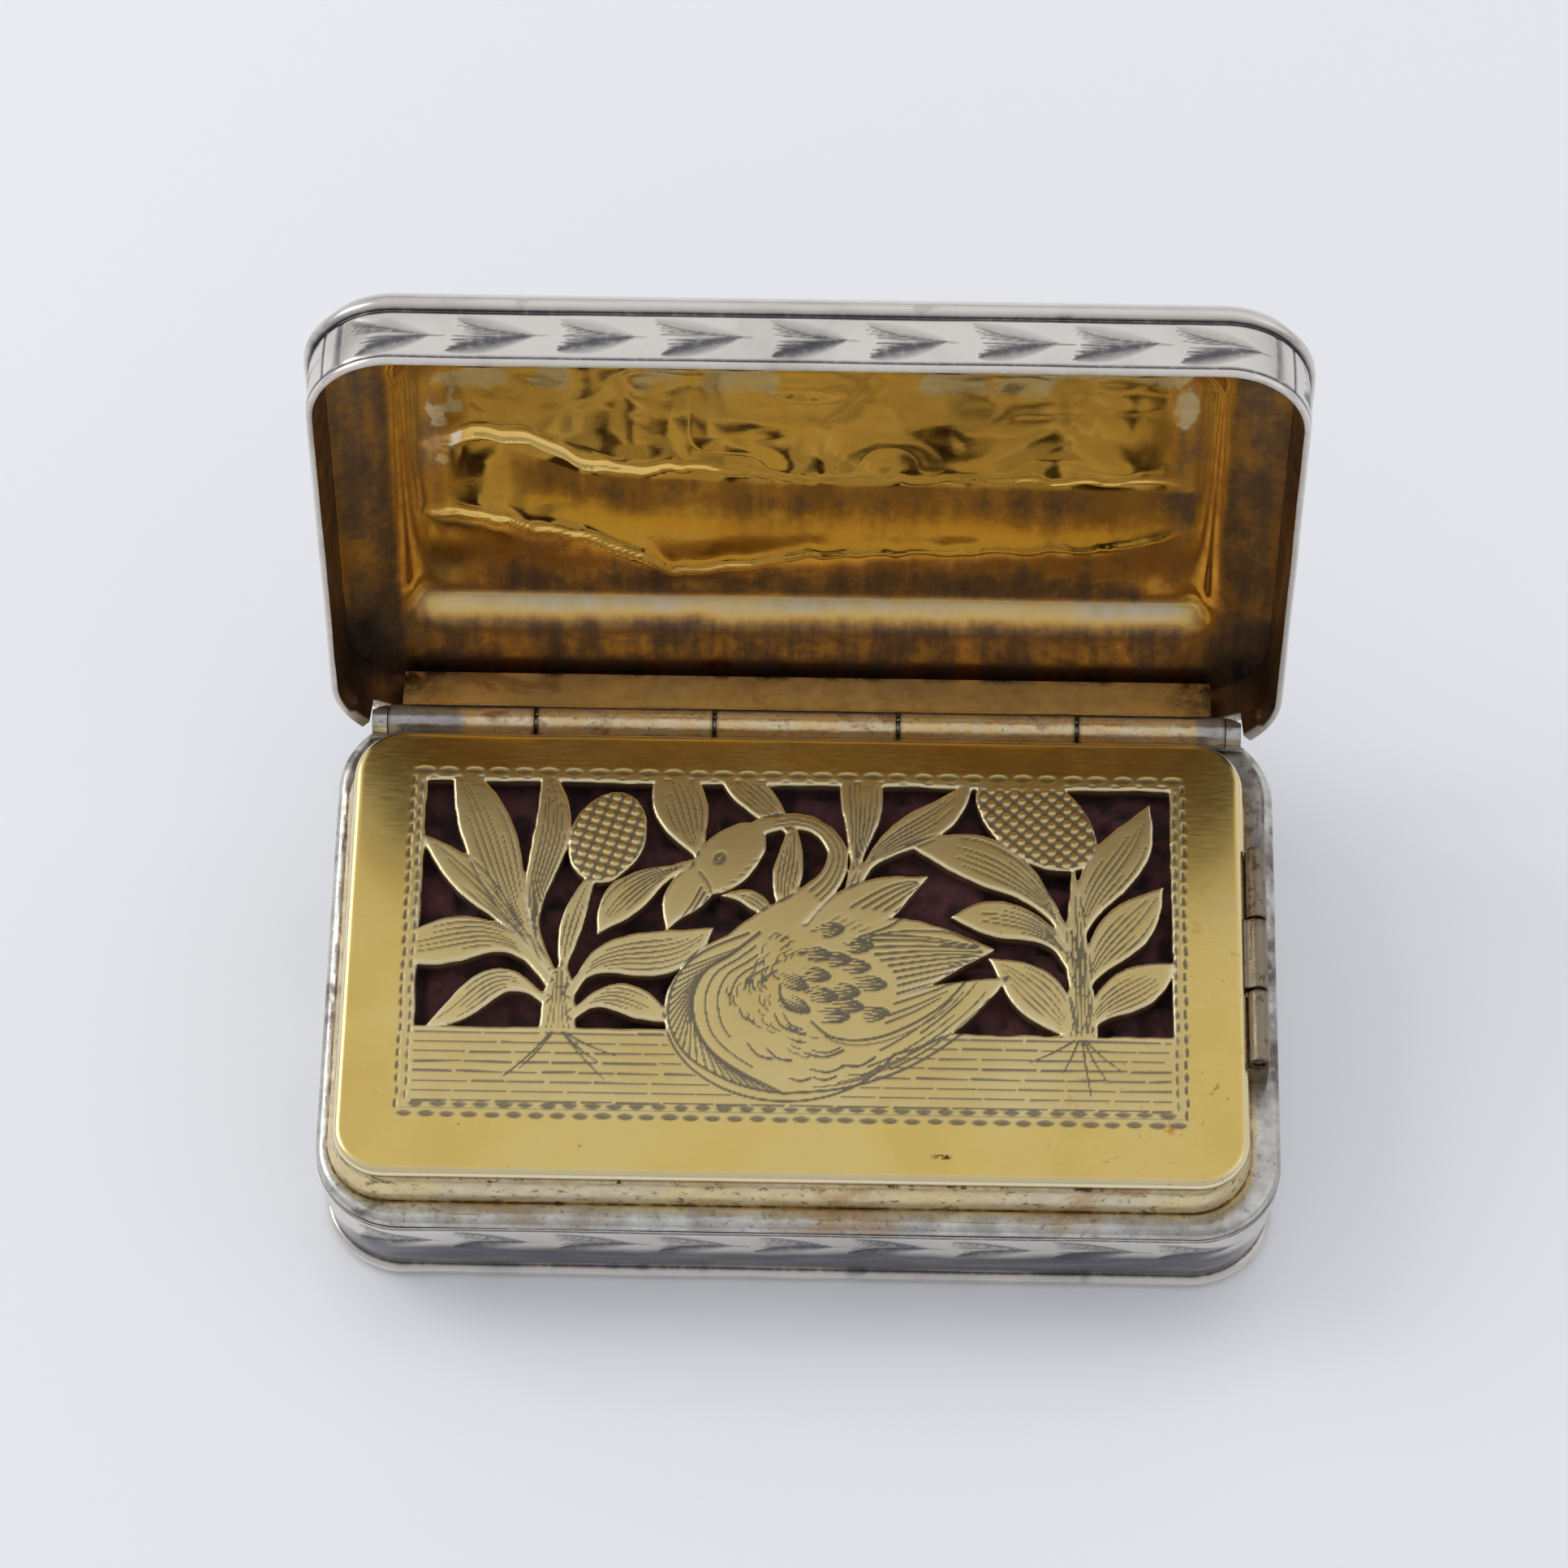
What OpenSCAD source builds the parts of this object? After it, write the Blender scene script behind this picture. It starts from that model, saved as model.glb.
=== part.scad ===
// Small rectangular silver vinaigrette: a hinged box, gilt inside,
// with a pierced and hinged inner grille over a piece of sponge.
// Millimetres, +Z up. The origin is the centre of the underside.
// X runs along the long sides, the lid hinge is on the +Y side,
// the grille hinge on the +X side.

/* [Box] */
// Length over the side walls
box_l = 38; // [38:0.5:42]
// Width over the side walls
box_w = 22.6; // [22.4:0.2:25]
// Plan radius of the four corners
corner_r = 3.4; // [3:0.1:3.8]
// Thickness of the sheet that the walls are made of
sheet = 0.45; // [0.35:0.05:0.5]
// Height of the base up to its rim
base_h = 5.4; // [5:0.2:7]
// Radius of the half-round thread wires
thread_r = 0.28; // [0.2:0.02:0.35]
// How far the lid overhangs the base at each short end
lid_lap = 0.2; // [0:0.05:0.3]
// How far the base's wall leans in from its rim to its foot
base_taper = 0.35; // [0:0.05:0.4]

/* [Lid] */
// Height of the lid's wall
lid_wall_h = 3.05; // [2.8:0.05:4]
// Rise of the lid's top above its wall
lid_rise = 1.75; // [1.5:0.05:2.5]
// Width of the rounded shoulder around the lid's panel
shoulder = 4.2; // [3.8:0.1:5]
// How far the lid stands open, in degrees
lid_open = 100; // [0:1:100]

/* [Hinges] */
// Outer diameter of the lid hinge's knuckles
barrel_d = 1.3; // [1.2:0.05:1.3]
// Diameter of the lid hinge's pin
pin_d = 0.62; // [0.5:0.02:0.7]
// Running clearance of both pins, on the radius
pin_gap = 0.03; // [0.02:0.01:0.05]
// Outer diameter of the grille hinge's knuckles
grille_barrel_d = 0.84; // [0.8:0.02:0.86]
// Diameter of the grille hinge's pin
grille_pin_d = 0.4; // [0.36:0.02:0.44]
// Length of the grille hinge
grille_hinge_l = 9.4; // [8:0.2:11]

/* [Grille] */
// Thickness of the grille's plate
plate_t = 0.5; // [0.4:0.05:0.5]
// How far the grille is lifted, in degrees
grille_lift = 0; // [0:0.5:2.5]
// Least width of a stem in the openwork
stem_w = 0.46; // [0.3:0.02:0.6]

/* [Sponge] */
// Height of the sponge
sponge_h = 5.7; // [4:0.1:5.8]

/* [Hidden] */
$fn = 48;

silver = [0.78, 0.78, 0.76];
gilt = [0.80, 0.66, 0.33];
brown_gilt = [0.62, 0.44, 0.18];
copper = [0.66, 0.48, 0.36];
steel = [0.45, 0.45, 0.47];
maroon = [0.20, 0.09, 0.10];

hx = box_l / 2;
hw = box_w / 2;
floor_t = 0.5;
ledge_t = 0.5;
seam = 0.05;
corner_steps = 10;

// Lid hinge: axis along X, near the rear face and just above the rim
barrel_r = barrel_d / 2;
hinge_y = hw - 0.7;
hinge_z = base_h + 0.6;
barrel_half = hx - 2.1;
seam_1 = 3.65;
seam_2 = 10.95;
knuckle_gap = 0.1;
stop_half = 51.5;

// Bezel and grille plate, a little short of the walls on the hinge sides
bezel_x0 = -hx + 0.95;
bezel_x1 = hx - 1.65;
bezel_y0 = -hw + 1.2;
bezel_y1 = hw - 1.9;
bezel_r = 2.2;
bezel_t = 0.4;
plate_z = base_h + 1.4;
plate_x0 = -hx + 1.0;
plate_x1 = hx - 1.55;
plate_y0 = -hw + 1.25;
plate_y1 = hw - 1.85;
plate_r = 2;

// Grille hinge: axis along Y, beside the plate's right-hand edge
grille_r = grille_barrel_d / 2;
gx = hx - 1.1;
gz = plate_z + 0.2;
centre_l = grille_hinge_l * 0.32;

// ---- outlines --------------------------------------------------------

function arc_pts(cx, cy, r, a0) =
    [for (i = [0:corner_steps]) let (a = a0 + i * 90 / corner_steps)
        [cx + r * cos(a), cy + r * sin(a)]];

function rr(x0, x1, y0, y1, r) = concat(
    arc_pts(x1 - r, y1 - r, r, 0), arc_pts(x0 + r, y1 - r, r, 90),
    arc_pts(x0 + r, y0 + r, r, 180), arc_pts(x1 - r, y0 + r, r, 270));

function outline(inset) = rr(-hx + inset, hx - inset, -hw + inset, hw - inset, corner_r - inset);

function base_outline(inset) =
    rr(-hx + lid_lap + inset, hx - lid_lap - inset, -hw + inset, hw - inset, corner_r - inset);

// A smooth solid through a stack of rings with the same number of points
module loft(rings, closed = false) {
    n = len(rings[0][0]);
    m = len(rings);
    pts = [for (k = rings) for (p = k[0]) [p[0], p[1], k[1]]];
    walls = [for (k = [0:(closed ? m - 1 : m - 2)]) for (j = [0:n - 1])
        let (a = k * n, b = ((k + 1) % m) * n, q = (j + 1) % n)
        [a + j, b + j, b + q, a + q]];
    caps = closed ? [] : [[for (j = [0:n - 1]) j],
        [for (j = [n - 1:-1:0]) (m - 1) * n + j]];
    polyhedron(pts, concat(walls, caps), convexity = 6);
}

function thread_half(i) = -90 + i * 30;

module ring(outer, inner, z0, z1) {
    translate([0, 0, z0]) linear_extrude(z1 - z0) difference() {
        polygon(outer);
        polygon(inner);
    }
}

// ---- hinge helpers ---------------------------------------------------

module along_x(x0, x1, r) {
    translate([x0, hinge_y, hinge_z]) rotate([0, 90, 0]) cylinder(r = r, h = x1 - x0);
}

module along_y(y0, y1, r) {
    translate([gx, y0, gz]) rotate([-90, 0, 0]) cylinder(r = r, h = y1 - y0);
}

// Groove that seats one side's knuckles and clears the other side's
module barrel_groove(seat_base) {
    clear = barrel_r + 0.12;
    rb = seat_base ? barrel_r : clear;
    rl = seat_base ? clear : barrel_r;
    for (s = [-1, 1]) {
        along_x(min(s * seam_2, s * hx), max(s * seam_2, s * hx), rb);
        along_x(min(s * seam_1, s * seam_2), max(s * seam_1, s * seam_2), rl);
    }
    along_x(-seam_1, seam_1, rb);
}

// Bevel planes through the hinge axis that meet when the lid is fully open
module stop_bevel(side) {
    translate([0, hinge_y, hinge_z]) rotate([side * stop_half, 0, 0])
        translate([-hx - 5, -1, side > 0 ? -6 : 0]) cube([2 * hx + 10, 7, 6]);
}

module trimmed() {
    intersection() {
        children();
        translate([0, 0, base_h - 2]) linear_extrude(5) polygon(outline(0));
    }
}

module on_lid() {
    translate([0, hinge_y, hinge_z]) rotate([-lid_open, 0, 0])
        translate([0, -hinge_y, -hinge_z]) children();
}

module on_grille() {
    translate([gx, 0, gz]) rotate([0, grille_lift, 0]) translate([-gx, 0, -gz]) children();
}

// ---- base ------------------------------------------------------------

module base_plate() {
    color(silver) linear_extrude(floor_t) polygon(base_outline(base_taper));
}

module base_wall() {
    z1 = floor_t + thread_r + 0.05;
    z2 = base_h - ledge_t;
    color(silver) loft([
        [base_outline(base_taper), floor_t], [base_outline(base_taper), z1], [base_outline(0), z2],
        [base_outline(sheet), z2], [base_outline(base_taper + sheet), z1],
        [base_outline(base_taper + sheet), floor_t]], closed = true);
}

module base_thread() {
    z = floor_t + 0.02;
    color(silver) loft([for (i = [0:6]) let (a = thread_half(i))
        [base_outline(base_taper - thread_r * cos(a)), z + thread_r * sin(a)]], closed = true);
}

module base_rim_ledge() {
    color(silver) difference() {
        ring(base_outline(0), rr(bezel_x0, bezel_x1, bezel_y0, bezel_y1, bezel_r), base_h - ledge_t, base_h);
        barrel_groove(true);
        stop_bevel(-1);
    }
}

module bezel() {
    color(gilt) ring(rr(bezel_x0, bezel_x1, bezel_y0, bezel_y1, bezel_r),
        rr(bezel_x0 + bezel_t, bezel_x1 - bezel_t, bezel_y0 + bezel_t, bezel_y1 - bezel_t, bezel_r - bezel_t),
        base_h - 2.4, plate_z - seam);
}

module base_hinge_bearer() {
    color(gilt) difference() {
        translate([-hx + 4, bezel_y1, base_h]) cube([2 * hx - 8.6, hinge_y - bezel_y1 - 0.1, 0.4]);
        barrel_groove(true);
    }
}

module base_knuckles() {
    color(copper) difference() {
        trimmed() union() {
            along_x(-barrel_half, -seam_2, barrel_r);
            along_x(-seam_1, seam_1, barrel_r);
            along_x(seam_2, barrel_half, barrel_r);
        }
        along_x(-hx, hx, pin_d / 2 + pin_gap);
    }
}

module lid_hinge_pin() {
    color(steel) along_x(-barrel_half + 0.1, barrel_half - 0.1, pin_d / 2);
}

module hinge_end_plugs() {
    color(silver) trimmed() union() {
        along_x(-barrel_half - 0.6, -barrel_half, barrel_r);
        along_x(barrel_half, barrel_half + 0.6, barrel_r);
    }
}

module grille_hinge_bearer() {
    color(gilt) difference() {
        for (s = [-1, 1])
            translate([bezel_x1, s > 0 ? centre_l / 2 + 0.1 : -grille_hinge_l / 2, base_h])
                cube([gx + 0.4 - bezel_x1, grille_hinge_l / 2 - centre_l / 2 - 0.1, gz - 0.35 - base_h]);
        along_y(-grille_hinge_l, grille_hinge_l, grille_r);
    }
}

module grille_outer_knuckles() {
    color(gilt) difference() {
        for (s = [-1, 1])
            along_y(s > 0 ? centre_l / 2 + 0.1 : -grille_hinge_l / 2,
                s > 0 ? grille_hinge_l / 2 : -centre_l / 2 - 0.1, grille_r);
        along_y(-grille_hinge_l, grille_hinge_l, grille_pin_d / 2 + pin_gap);
    }
}

module grille_hinge_pin() {
    color(steel) along_y(-grille_hinge_l / 2 + 0.1, grille_hinge_l / 2 - 0.1, grille_pin_d / 2);
}

module sponge() {
    e = 0.5;
    function block(i) = rr(bezel_x0 + 1.1 + i, bezel_x1 - 1.1 - i, bezel_y0 + 1.1 + i, bezel_y1 - 1.1 - i, 1.6 - i);
    z0 = floor_t + 0.05;
    color(maroon) loft([
        [block(e), z0], [block(0.15), z0 + 0.15], [block(0), z0 + e],
        [block(0), z0 + sponge_h - e], [block(0.15), z0 + sponge_h - 0.15], [block(e), z0 + sponge_h]]);
}

// ---- lid, drawn shut and then turned open ------------------------------

module lid_wall() {
    color(silver) on_lid() difference() {
        ring(outline(0), outline(sheet), base_h + seam, base_h + lid_wall_h);
        along_x(-barrel_half - 0.75, barrel_half + 0.75, barrel_r + 0.14);
        stop_bevel(1);
    }
}

module lid_thread() {
    z = base_h + lid_wall_h - 0.15;
    color(silver) on_lid() loft([for (i = [0:6]) let (a = thread_half(i))
        [outline(-thread_r * cos(a)), z + thread_r * sin(a)]], closed = true);
}

// Rounded shoulder that eases into a flat panel
function shoulder_in(t) = t < 0.5 ? 1.9 * (1 - cos(180 * t)) : 1.9 + (shoulder - 1.9) * (2 * t - 1);
function shoulder_up(t) = t < 0.5 ? 0.78 * lid_rise * sin(180 * t)
    : lid_rise * (0.78 + 0.22 * sin(90 * (2 * t - 1)));

function shoulder_ring(t, under) =
    let (i = shoulder_in(t) + (under ? sheet * (1 - 0.7 * t) : 0))
    rr(-hx + i, hx - i, -hw + i, hw - i, corner_r - (under ? sheet : 0) - (corner_r - 1.3) * t);

module lid_top() {
    z = base_h + lid_wall_h;
    k = 12;
    color(brown_gilt) on_lid() loft(concat(
        [for (j = [k:-1:0]) let (t = j / k) [shoulder_ring(t, true), z + shoulder_up(t) * (1 - sheet / lid_rise)]],
        [for (j = [0:k]) let (t = j / k) [shoulder_ring(t, false), z + shoulder_up(t)]]));
}

module lid_hinge_bearer() {
    color(gilt) on_lid() difference() {
        intersection() {
            translate([-hx + 2.7, hinge_y - barrel_r, hinge_z + 0.3])
                cube([2 * hx - 5.4, hw - sheet - hinge_y + barrel_r, 1.8]);
            translate([0, 0, base_h]) linear_extrude(lid_wall_h) polygon(outline(sheet));
        }
        barrel_groove(false);
    }
}

module lid_knuckles() {
    color(copper) on_lid() difference() {
        for (s = [-1, 1])
            along_x(s > 0 ? seam_1 + knuckle_gap : -seam_2 + knuckle_gap,
                s > 0 ? seam_2 - knuckle_gap : -seam_1 - knuckle_gap, barrel_r);
        along_x(-hx, hx, pin_d / 2 + pin_gap);
    }
}

// ---- grille ------------------------------------------------------------

// Openwork field above the water line, and how far to the left and forward it is set on the plate
field = [-14.8, 14.8, -3.5, 7.4];
field_shift = [-0.25, -0.2];

// A leaf from foot to tip: [foot x, foot y, tip x, tip y, width, bow, where it is widest, S bend]
LEAVES = [
    // left-hand plant
    [-9.6, -2.4, -14.4, -3.6, 1.4, -1.1, 0.5, -0.4],
    [-9.6, -1.6, -16.6, -0.5, 2, -1.45, 0.6, -0.35],
    [-9.6, -1, -15, 5, 1.4, -0.2, 0.65, 0],
    [-9.6, -1, -13.9, 8.5, 2.2, 0.1, 0.62, 0.2],
    [-9.5, -1.2, -10.3, 8.5, 1.5, 0.15, 0.65, 0.5],
    [-9.1, -1.8, -7.9, 3.6, 0.95, 0.35, 0.55, 0],
    [-8.9, -2.2, -3.2, 1, 2, 0.4, 0.6, 0.45],
    [-8.8, -3.1, -4.6, -3.3, 1.3, 1, 0.55, 0.15],
    // pair of leaves behind the bird's head
    [-3.6, 3.9, -7.8, 0.6, 1.65, -0.7, 0.65, 0],
    [-3.7, 3.8, -5.7, 8.6, 2.2, -0.1, 0.55, 0.1],
    // grasses behind the neck
    [-0.2, 5.2, -3.6, 8.3, 1.4, -0.2, 0.5, 0],
    [-0.4, 1.2, -0.3, 6, 1.15, 0, 0.5, 0.1],
    [-0.9, 1, -3, 2.4, 0.8, -0.6, 0.5, 0],
    [2.1, 2.4, 2.3, 9.6, 1.75, -0.3, 0.65, 0],
    [2.2, 2.6, 6.9, 7.7, 1.55, 0.2, 0.62, 0.3],
    // right-hand plant
    [11.3, -3.8, 10.9, 4.4, 1, 0, 0.35, 0],
    [11.1, -0.2, 4.3, 4.8, 2.1, -1.45, 0.66, 0],
    [11.2, -1.4, 6, 1.6, 1.65, -1.3, 0.68, -0.1],
    [11, -3.8, 7.6, -0.2, 2.1, -0.35, 0.5, 0],
    [11.2, 0.2, 14, 6.8, 2.1, 0.3, 0.58, 0.2],
    [11.3, -1.8, 14.5, 3.1, 2, 0.3, 0.58, 0.1],
    [11.3, -3.7, 15, -0.2, 1.8, 0.4, 0.58, 0.15],
    // bird: bill, wing and tail
    [-2.9, 4.3, -5.1, 0.8, 1.65, -0.2, 0.5, 0.1],
    [-0.5, -0.6, 5.2, 3.4, 2.2, 0.3, 0.55, 0],
    [-1, -1.6, 7.8, 0.2, 3.6, 0.4, 0.5, 0],
    [0.5, -4.5, 8.4, -1, 2.5, -0.25, 0.5, 0]
];

// Round shapes: [centre x, centre y, half length, half width, turn in degrees]
ROUNDS = [
    [-0.3, -2.7, 4.8, 3.9, 0],
    [-2.7, 4.1, 1.9, 1.15, 50],
    [-7.55, 4.95, 2.1, 1.5, 72],
    [9.5, 6, 2.8, 1.75, -42]
];

// The bird's neck as a bent band: [x, y, width]
NECK = [[-2.4, 4.9, 0.95], [-1.2, 5.6, 0.75], [0, 5.8, 0.7], [1, 5.4, 0.75], [1.6, 4.4, 0.8],
    [1.3, 3.2, 0.95], [0.3, 2.1, 1.25], [-0.9, 1, 1.9], [-1.8, -0.4, 3]];

function leaf_mid(f, t) =
    let (dx = f[2] - f[0], dy = f[3] - f[1], l = norm([dx, dy]), b = 4 * f[5] * t * (1 - t) + f[7] * sin(360 * t))
    [f[0] + dx * t - dy / l * b, f[1] + dy * t + dx / l * b];

function leaf_half(f, t) = let (p = ln(0.5) / ln(f[6]))
    max(f[4] / 2 * sin(180 * pow(t, p)), stem_w / 2 * (t < f[6] ? 1 : 0), 0.02);

function leaf_edge(f, t, s) =
    let (a = leaf_mid(f, max(t - 0.02, 0)), b = leaf_mid(f, min(t + 0.02, 1)), l = norm(b - a), h = leaf_half(f, t))
    leaf_mid(f, t) + s * h / l * [a[1] - b[1], b[0] - a[0]];

module leaf(f) {
    n = 12;
    polygon(concat([for (i = [0:n]) leaf_edge(f, i / n, 1)], [for (i = [n:-1:0]) leaf_edge(f, i / n, -1)]));
}

module round_shape(e) {
    polygon([for (i = [0:35]) let (a = i * 10)
        [e[0] + e[2] * cos(a) * cos(e[4]) - e[3] * sin(a) * sin(e[4]),
            e[1] + e[2] * cos(a) * sin(e[4]) + e[3] * sin(a) * cos(e[4])]]);
}

function band_side(k, i, s) =
    let (a = k[max(i - 1, 0)], b = k[min(i + 1, len(k) - 1)], d = [b[0] - a[0], b[1] - a[1]], l = norm(d))
    [k[i][0] - s * d[1] / l * k[i][2] / 2, k[i][1] + s * d[0] / l * k[i][2] / 2];

module band(k) {
    n = len(k) - 1;
    polygon(concat([for (i = [0:n]) band_side(k, i, 1)], [for (i = [n:-1:0]) band_side(k, i, -1)]));
}

module plant_foot(x) {
    polygon([[x - 0.75, -4], [x + 0.75, -4], [x + 0.65, -1.9], [x + 0.35, -0.9], [x - 0.35, -0.9], [x - 0.65, -1.9]]);
}

module figures() {
    for (f = LEAVES) leaf(f);
    for (e = ROUNDS) round_shape(e);
    band(NECK);
    plant_foot(-9.2);
    plant_foot(11.2);
}

module grille_plate() {
    color(gilt) on_grille() translate([0, 0, plate_z]) linear_extrude(plate_t) difference() {
        polygon(rr(plate_x0, plate_x1, plate_y0, plate_y1, plate_r));
        translate(field_shift) difference() {
            translate([field[0], field[2]]) square([field[1] - field[0], field[3] - field[2]]);
            figures();
        }
    }
}

module grille_knuckle() {
    color(gilt) on_grille() difference() {
        union() {
            along_y(-centre_l / 2, centre_l / 2, grille_r);
            translate([plate_x1, -centre_l / 2, plate_z]) cube([gx - plate_x1, centre_l, 0.45]);
        }
        along_y(-grille_hinge_l, grille_hinge_l, grille_pin_d / 2 + pin_gap);
    }
}

base_plate();
base_wall();
base_thread();
base_rim_ledge();
bezel();
base_hinge_bearer();
base_knuckles();
lid_hinge_pin();
hinge_end_plugs();
grille_hinge_bearer();
grille_outer_knuckles();
grille_hinge_pin();
sponge();
lid_wall();
lid_thread();
lid_top();
lid_hinge_bearer();
lid_knuckles();
grille_plate();
grille_knuckle();
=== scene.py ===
import math

import bpy
import numpy as np
from mathutils import Matrix, Vector, geometry

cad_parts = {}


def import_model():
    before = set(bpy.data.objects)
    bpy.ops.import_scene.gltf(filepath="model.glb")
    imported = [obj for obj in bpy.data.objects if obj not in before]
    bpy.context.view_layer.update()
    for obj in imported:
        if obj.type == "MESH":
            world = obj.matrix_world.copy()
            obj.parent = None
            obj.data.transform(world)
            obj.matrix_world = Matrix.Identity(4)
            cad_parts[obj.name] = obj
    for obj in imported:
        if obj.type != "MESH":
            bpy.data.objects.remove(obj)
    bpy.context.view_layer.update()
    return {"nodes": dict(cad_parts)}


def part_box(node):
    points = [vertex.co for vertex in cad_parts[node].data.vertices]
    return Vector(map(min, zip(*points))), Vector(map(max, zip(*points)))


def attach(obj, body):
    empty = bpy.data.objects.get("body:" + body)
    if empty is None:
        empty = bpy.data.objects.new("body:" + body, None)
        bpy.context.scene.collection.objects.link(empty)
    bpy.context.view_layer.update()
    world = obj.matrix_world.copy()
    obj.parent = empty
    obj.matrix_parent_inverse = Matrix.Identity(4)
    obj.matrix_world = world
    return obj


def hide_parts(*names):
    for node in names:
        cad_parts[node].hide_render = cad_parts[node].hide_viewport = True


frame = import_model()
NODES = frame["nodes"]

# All lengths below are in millimetres, in the part's own frame. They turn to metres where a mesh is made.
HX, HW, CORNER, SHEET = 19.0, 11.3, 3.4, 0.45
RIM = 5.4
THREAD = 0.28
HINGE_Y, HINGE_Z, BARREL = 10.6, 6.0, 0.65
LAP, TAPER = 0.2, 0.35
BEZEL = (-18.05, 17.35, -10.1, 9.4, 2.2)
PLATE = (-18.0, 17.45, -10.05, 9.45, 2.0)
PLATE_Z0, PLATE_Z1 = 6.8, 7.3
LID_Z0, LID_Z1, LID_RISE, SHOULDER = 5.45, 8.45, 1.75, 4.2
OPEN = math.radians(100)


# ---------------------------------------------------------------- helpers

def lattice(p, size, seed=0):
    """Smooth noise from -1 to 1 at points p, with features of about that size."""
    p = np.asarray(p, float)
    if p.shape[1] == 2:
        p = np.c_[p, np.zeros(len(p))]
    q = p / size + 100.0
    i = np.floor(q).astype(np.int64)
    f = q - i
    u = f * f * f * (f * (f * 6 - 15) + 10)

    def corner(dx, dy, dz):
        h = ((i[:, 0] + dx) * 374761393 + (i[:, 1] + dy) * 668265263 + (i[:, 2] + dz) * 2246822519 + seed * 3266489917) & 0xFFFFFFFF
        h = ((h ^ (h >> 15)) * 2246822519) & 0xFFFFFFFF
        h = ((h ^ (h >> 13)) * 3266489917) & 0xFFFFFFFF
        return ((h ^ (h >> 16)) & 0xFFFFF) / 524287.5 - 1

    out = 0
    for dx in (0, 1):
        for dy in (0, 1):
            for dz in (0, 1):
                w = ((u[:, 0] if dx else 1 - u[:, 0]) * (u[:, 1] if dy else 1 - u[:, 1]) * (u[:, 2] if dz else 1 - u[:, 2]))
                out = out + w * corner(dx, dy, dz)
    return out


def fbm(p, size, octaves=3, seed=0):
    out, amp, total = 0, 1.0, 0.0
    for k in range(octaves):
        out = out + amp * lattice(p, size / 2 ** k, seed + 17 * k)
        total += amp
        amp *= 0.5
    return out / total


def smooth(a, b, x):
    t = np.clip((np.asarray(x, float) - a) / (b - a), 0, 1)
    return t * t * (3 - 2 * t)


def make(name, verts, quads=None, tris=None, mats=(), fmat=None, attrs=None, sharp=40):
    """A mesh object from arrays, in millimetres."""
    verts = np.asarray(verts, float)
    quads = np.zeros((0, 4), int) if quads is None or len(quads) == 0 else np.asarray(quads)
    tris = np.zeros((0, 3), int) if tris is None or len(tris) == 0 else np.asarray(tris)
    me = bpy.data.meshes.new(name)
    loops = np.concatenate([quads.ravel(), tris.ravel()]).astype(np.int32)
    starts = np.concatenate([np.arange(len(quads)) * 4, len(quads) * 4 + np.arange(len(tris)) * 3]).astype(np.int32)
    me.vertices.add(len(verts))
    me.vertices.foreach_set("co", (verts * 0.001).astype(np.float32).ravel())
    me.loops.add(len(loops))
    me.loops.foreach_set("vertex_index", loops)
    me.polygons.add(len(starts))
    me.polygons.foreach_set("loop_start", starts)
    for m in mats:
        me.materials.append(m)
    if fmat is not None:
        me.polygons.foreach_set("material_index", np.asarray(fmat, np.int32))
    me.update(calc_edges=True)
    me.validate()
    for key, value in (attrs or {}).items():
        a = me.attributes.new(key, "FLOAT", "POINT")
        a.data.foreach_set("value", np.asarray(value, np.float32))
    me.shade_smooth()
    if sharp:
        me.set_sharp_from_angle(angle=math.radians(sharp))
    ob = bpy.data.objects.new(name, me)
    bpy.context.scene.collection.objects.link(ob)
    return ob


def place(ob, body, slot, *nodes):
    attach(ob, body)
    if nodes:
        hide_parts(*nodes)
    return ob


def rrect(x0, x1, y0, y1, r, nl=150, ns=84, nc=18):
    """Points and outward normals of a rounded rectangle, counter-clockwise from its +X+Y corner."""
    pts, nor = [], []

    def arc(cx, cy, a0):
        a = np.radians(a0 + np.linspace(0, 90, nc + 1))
        n = np.c_[np.cos(a), np.sin(a)]
        pts.append(np.array([cx, cy]) + r * n)
        nor.append(n)

    def side(p, q, k, n):
        t = np.linspace(0, 1, k + 1)[1:-1, None]
        pts.append(np.array(p) + (np.array(q) - np.array(p)) * t)
        nor.append(np.tile(n, (k - 1, 1)))

    arc(x1 - r, y1 - r, 0)
    side((x1 - r, y1), (x0 + r, y1), nl, (0.0, 1.0))
    arc(x0 + r, y1 - r, 90)
    side((x0, y1 - r), (x0, y0 + r), ns, (-1.0, 0.0))
    arc(x0 + r, y0 + r, 180)
    side((x0 + r, y0), (x1 - r, y0), nl, (0.0, -1.0))
    arc(x1 - r, y0 + r, 270)
    side((x1, y0 + r), (x1, y1 - r), ns, (1.0, 0.0))
    return np.concatenate(pts), np.concatenate(nor)


def outline(inset=0.0, **kw):
    return rrect(-HX + inset, HX - inset, -HW + inset, HW - inset, CORNER - inset, **kw)


def base_outline(inset=0.0, **kw):
    return rrect(-HX + LAP + inset, HX - LAP - inset, -HW + inset, HW - inset, CORNER - inset, **kw)


def strips(rows, n, closed=False, first=0):
    """Quads between stacked rings of n points; outward when the rings run counter-clockwise and upwards."""
    k = np.arange(rows if closed else rows - 1)[:, None]
    j = np.arange(n)[None, :]
    a, b = (k % rows) * n, ((k + 1) % rows) * n
    q = (j + 1) % n
    return (first + np.stack([a + j, a + q, b + q, b + j], -1)).reshape(-1, 4)


def lid_pose(v):
    """From the shut lid to the open one."""
    v = np.array(v, float)
    y, z = v[:, 1] - HINGE_Y, v[:, 2] - HINGE_Z
    c, s = math.cos(OPEN), math.sin(OPEN)
    v[:, 1] = HINGE_Y + y * c + z * s
    v[:, 2] = HINGE_Z - y * s + z * c
    return v


# -------------------------------------------------------------- materials

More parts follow.
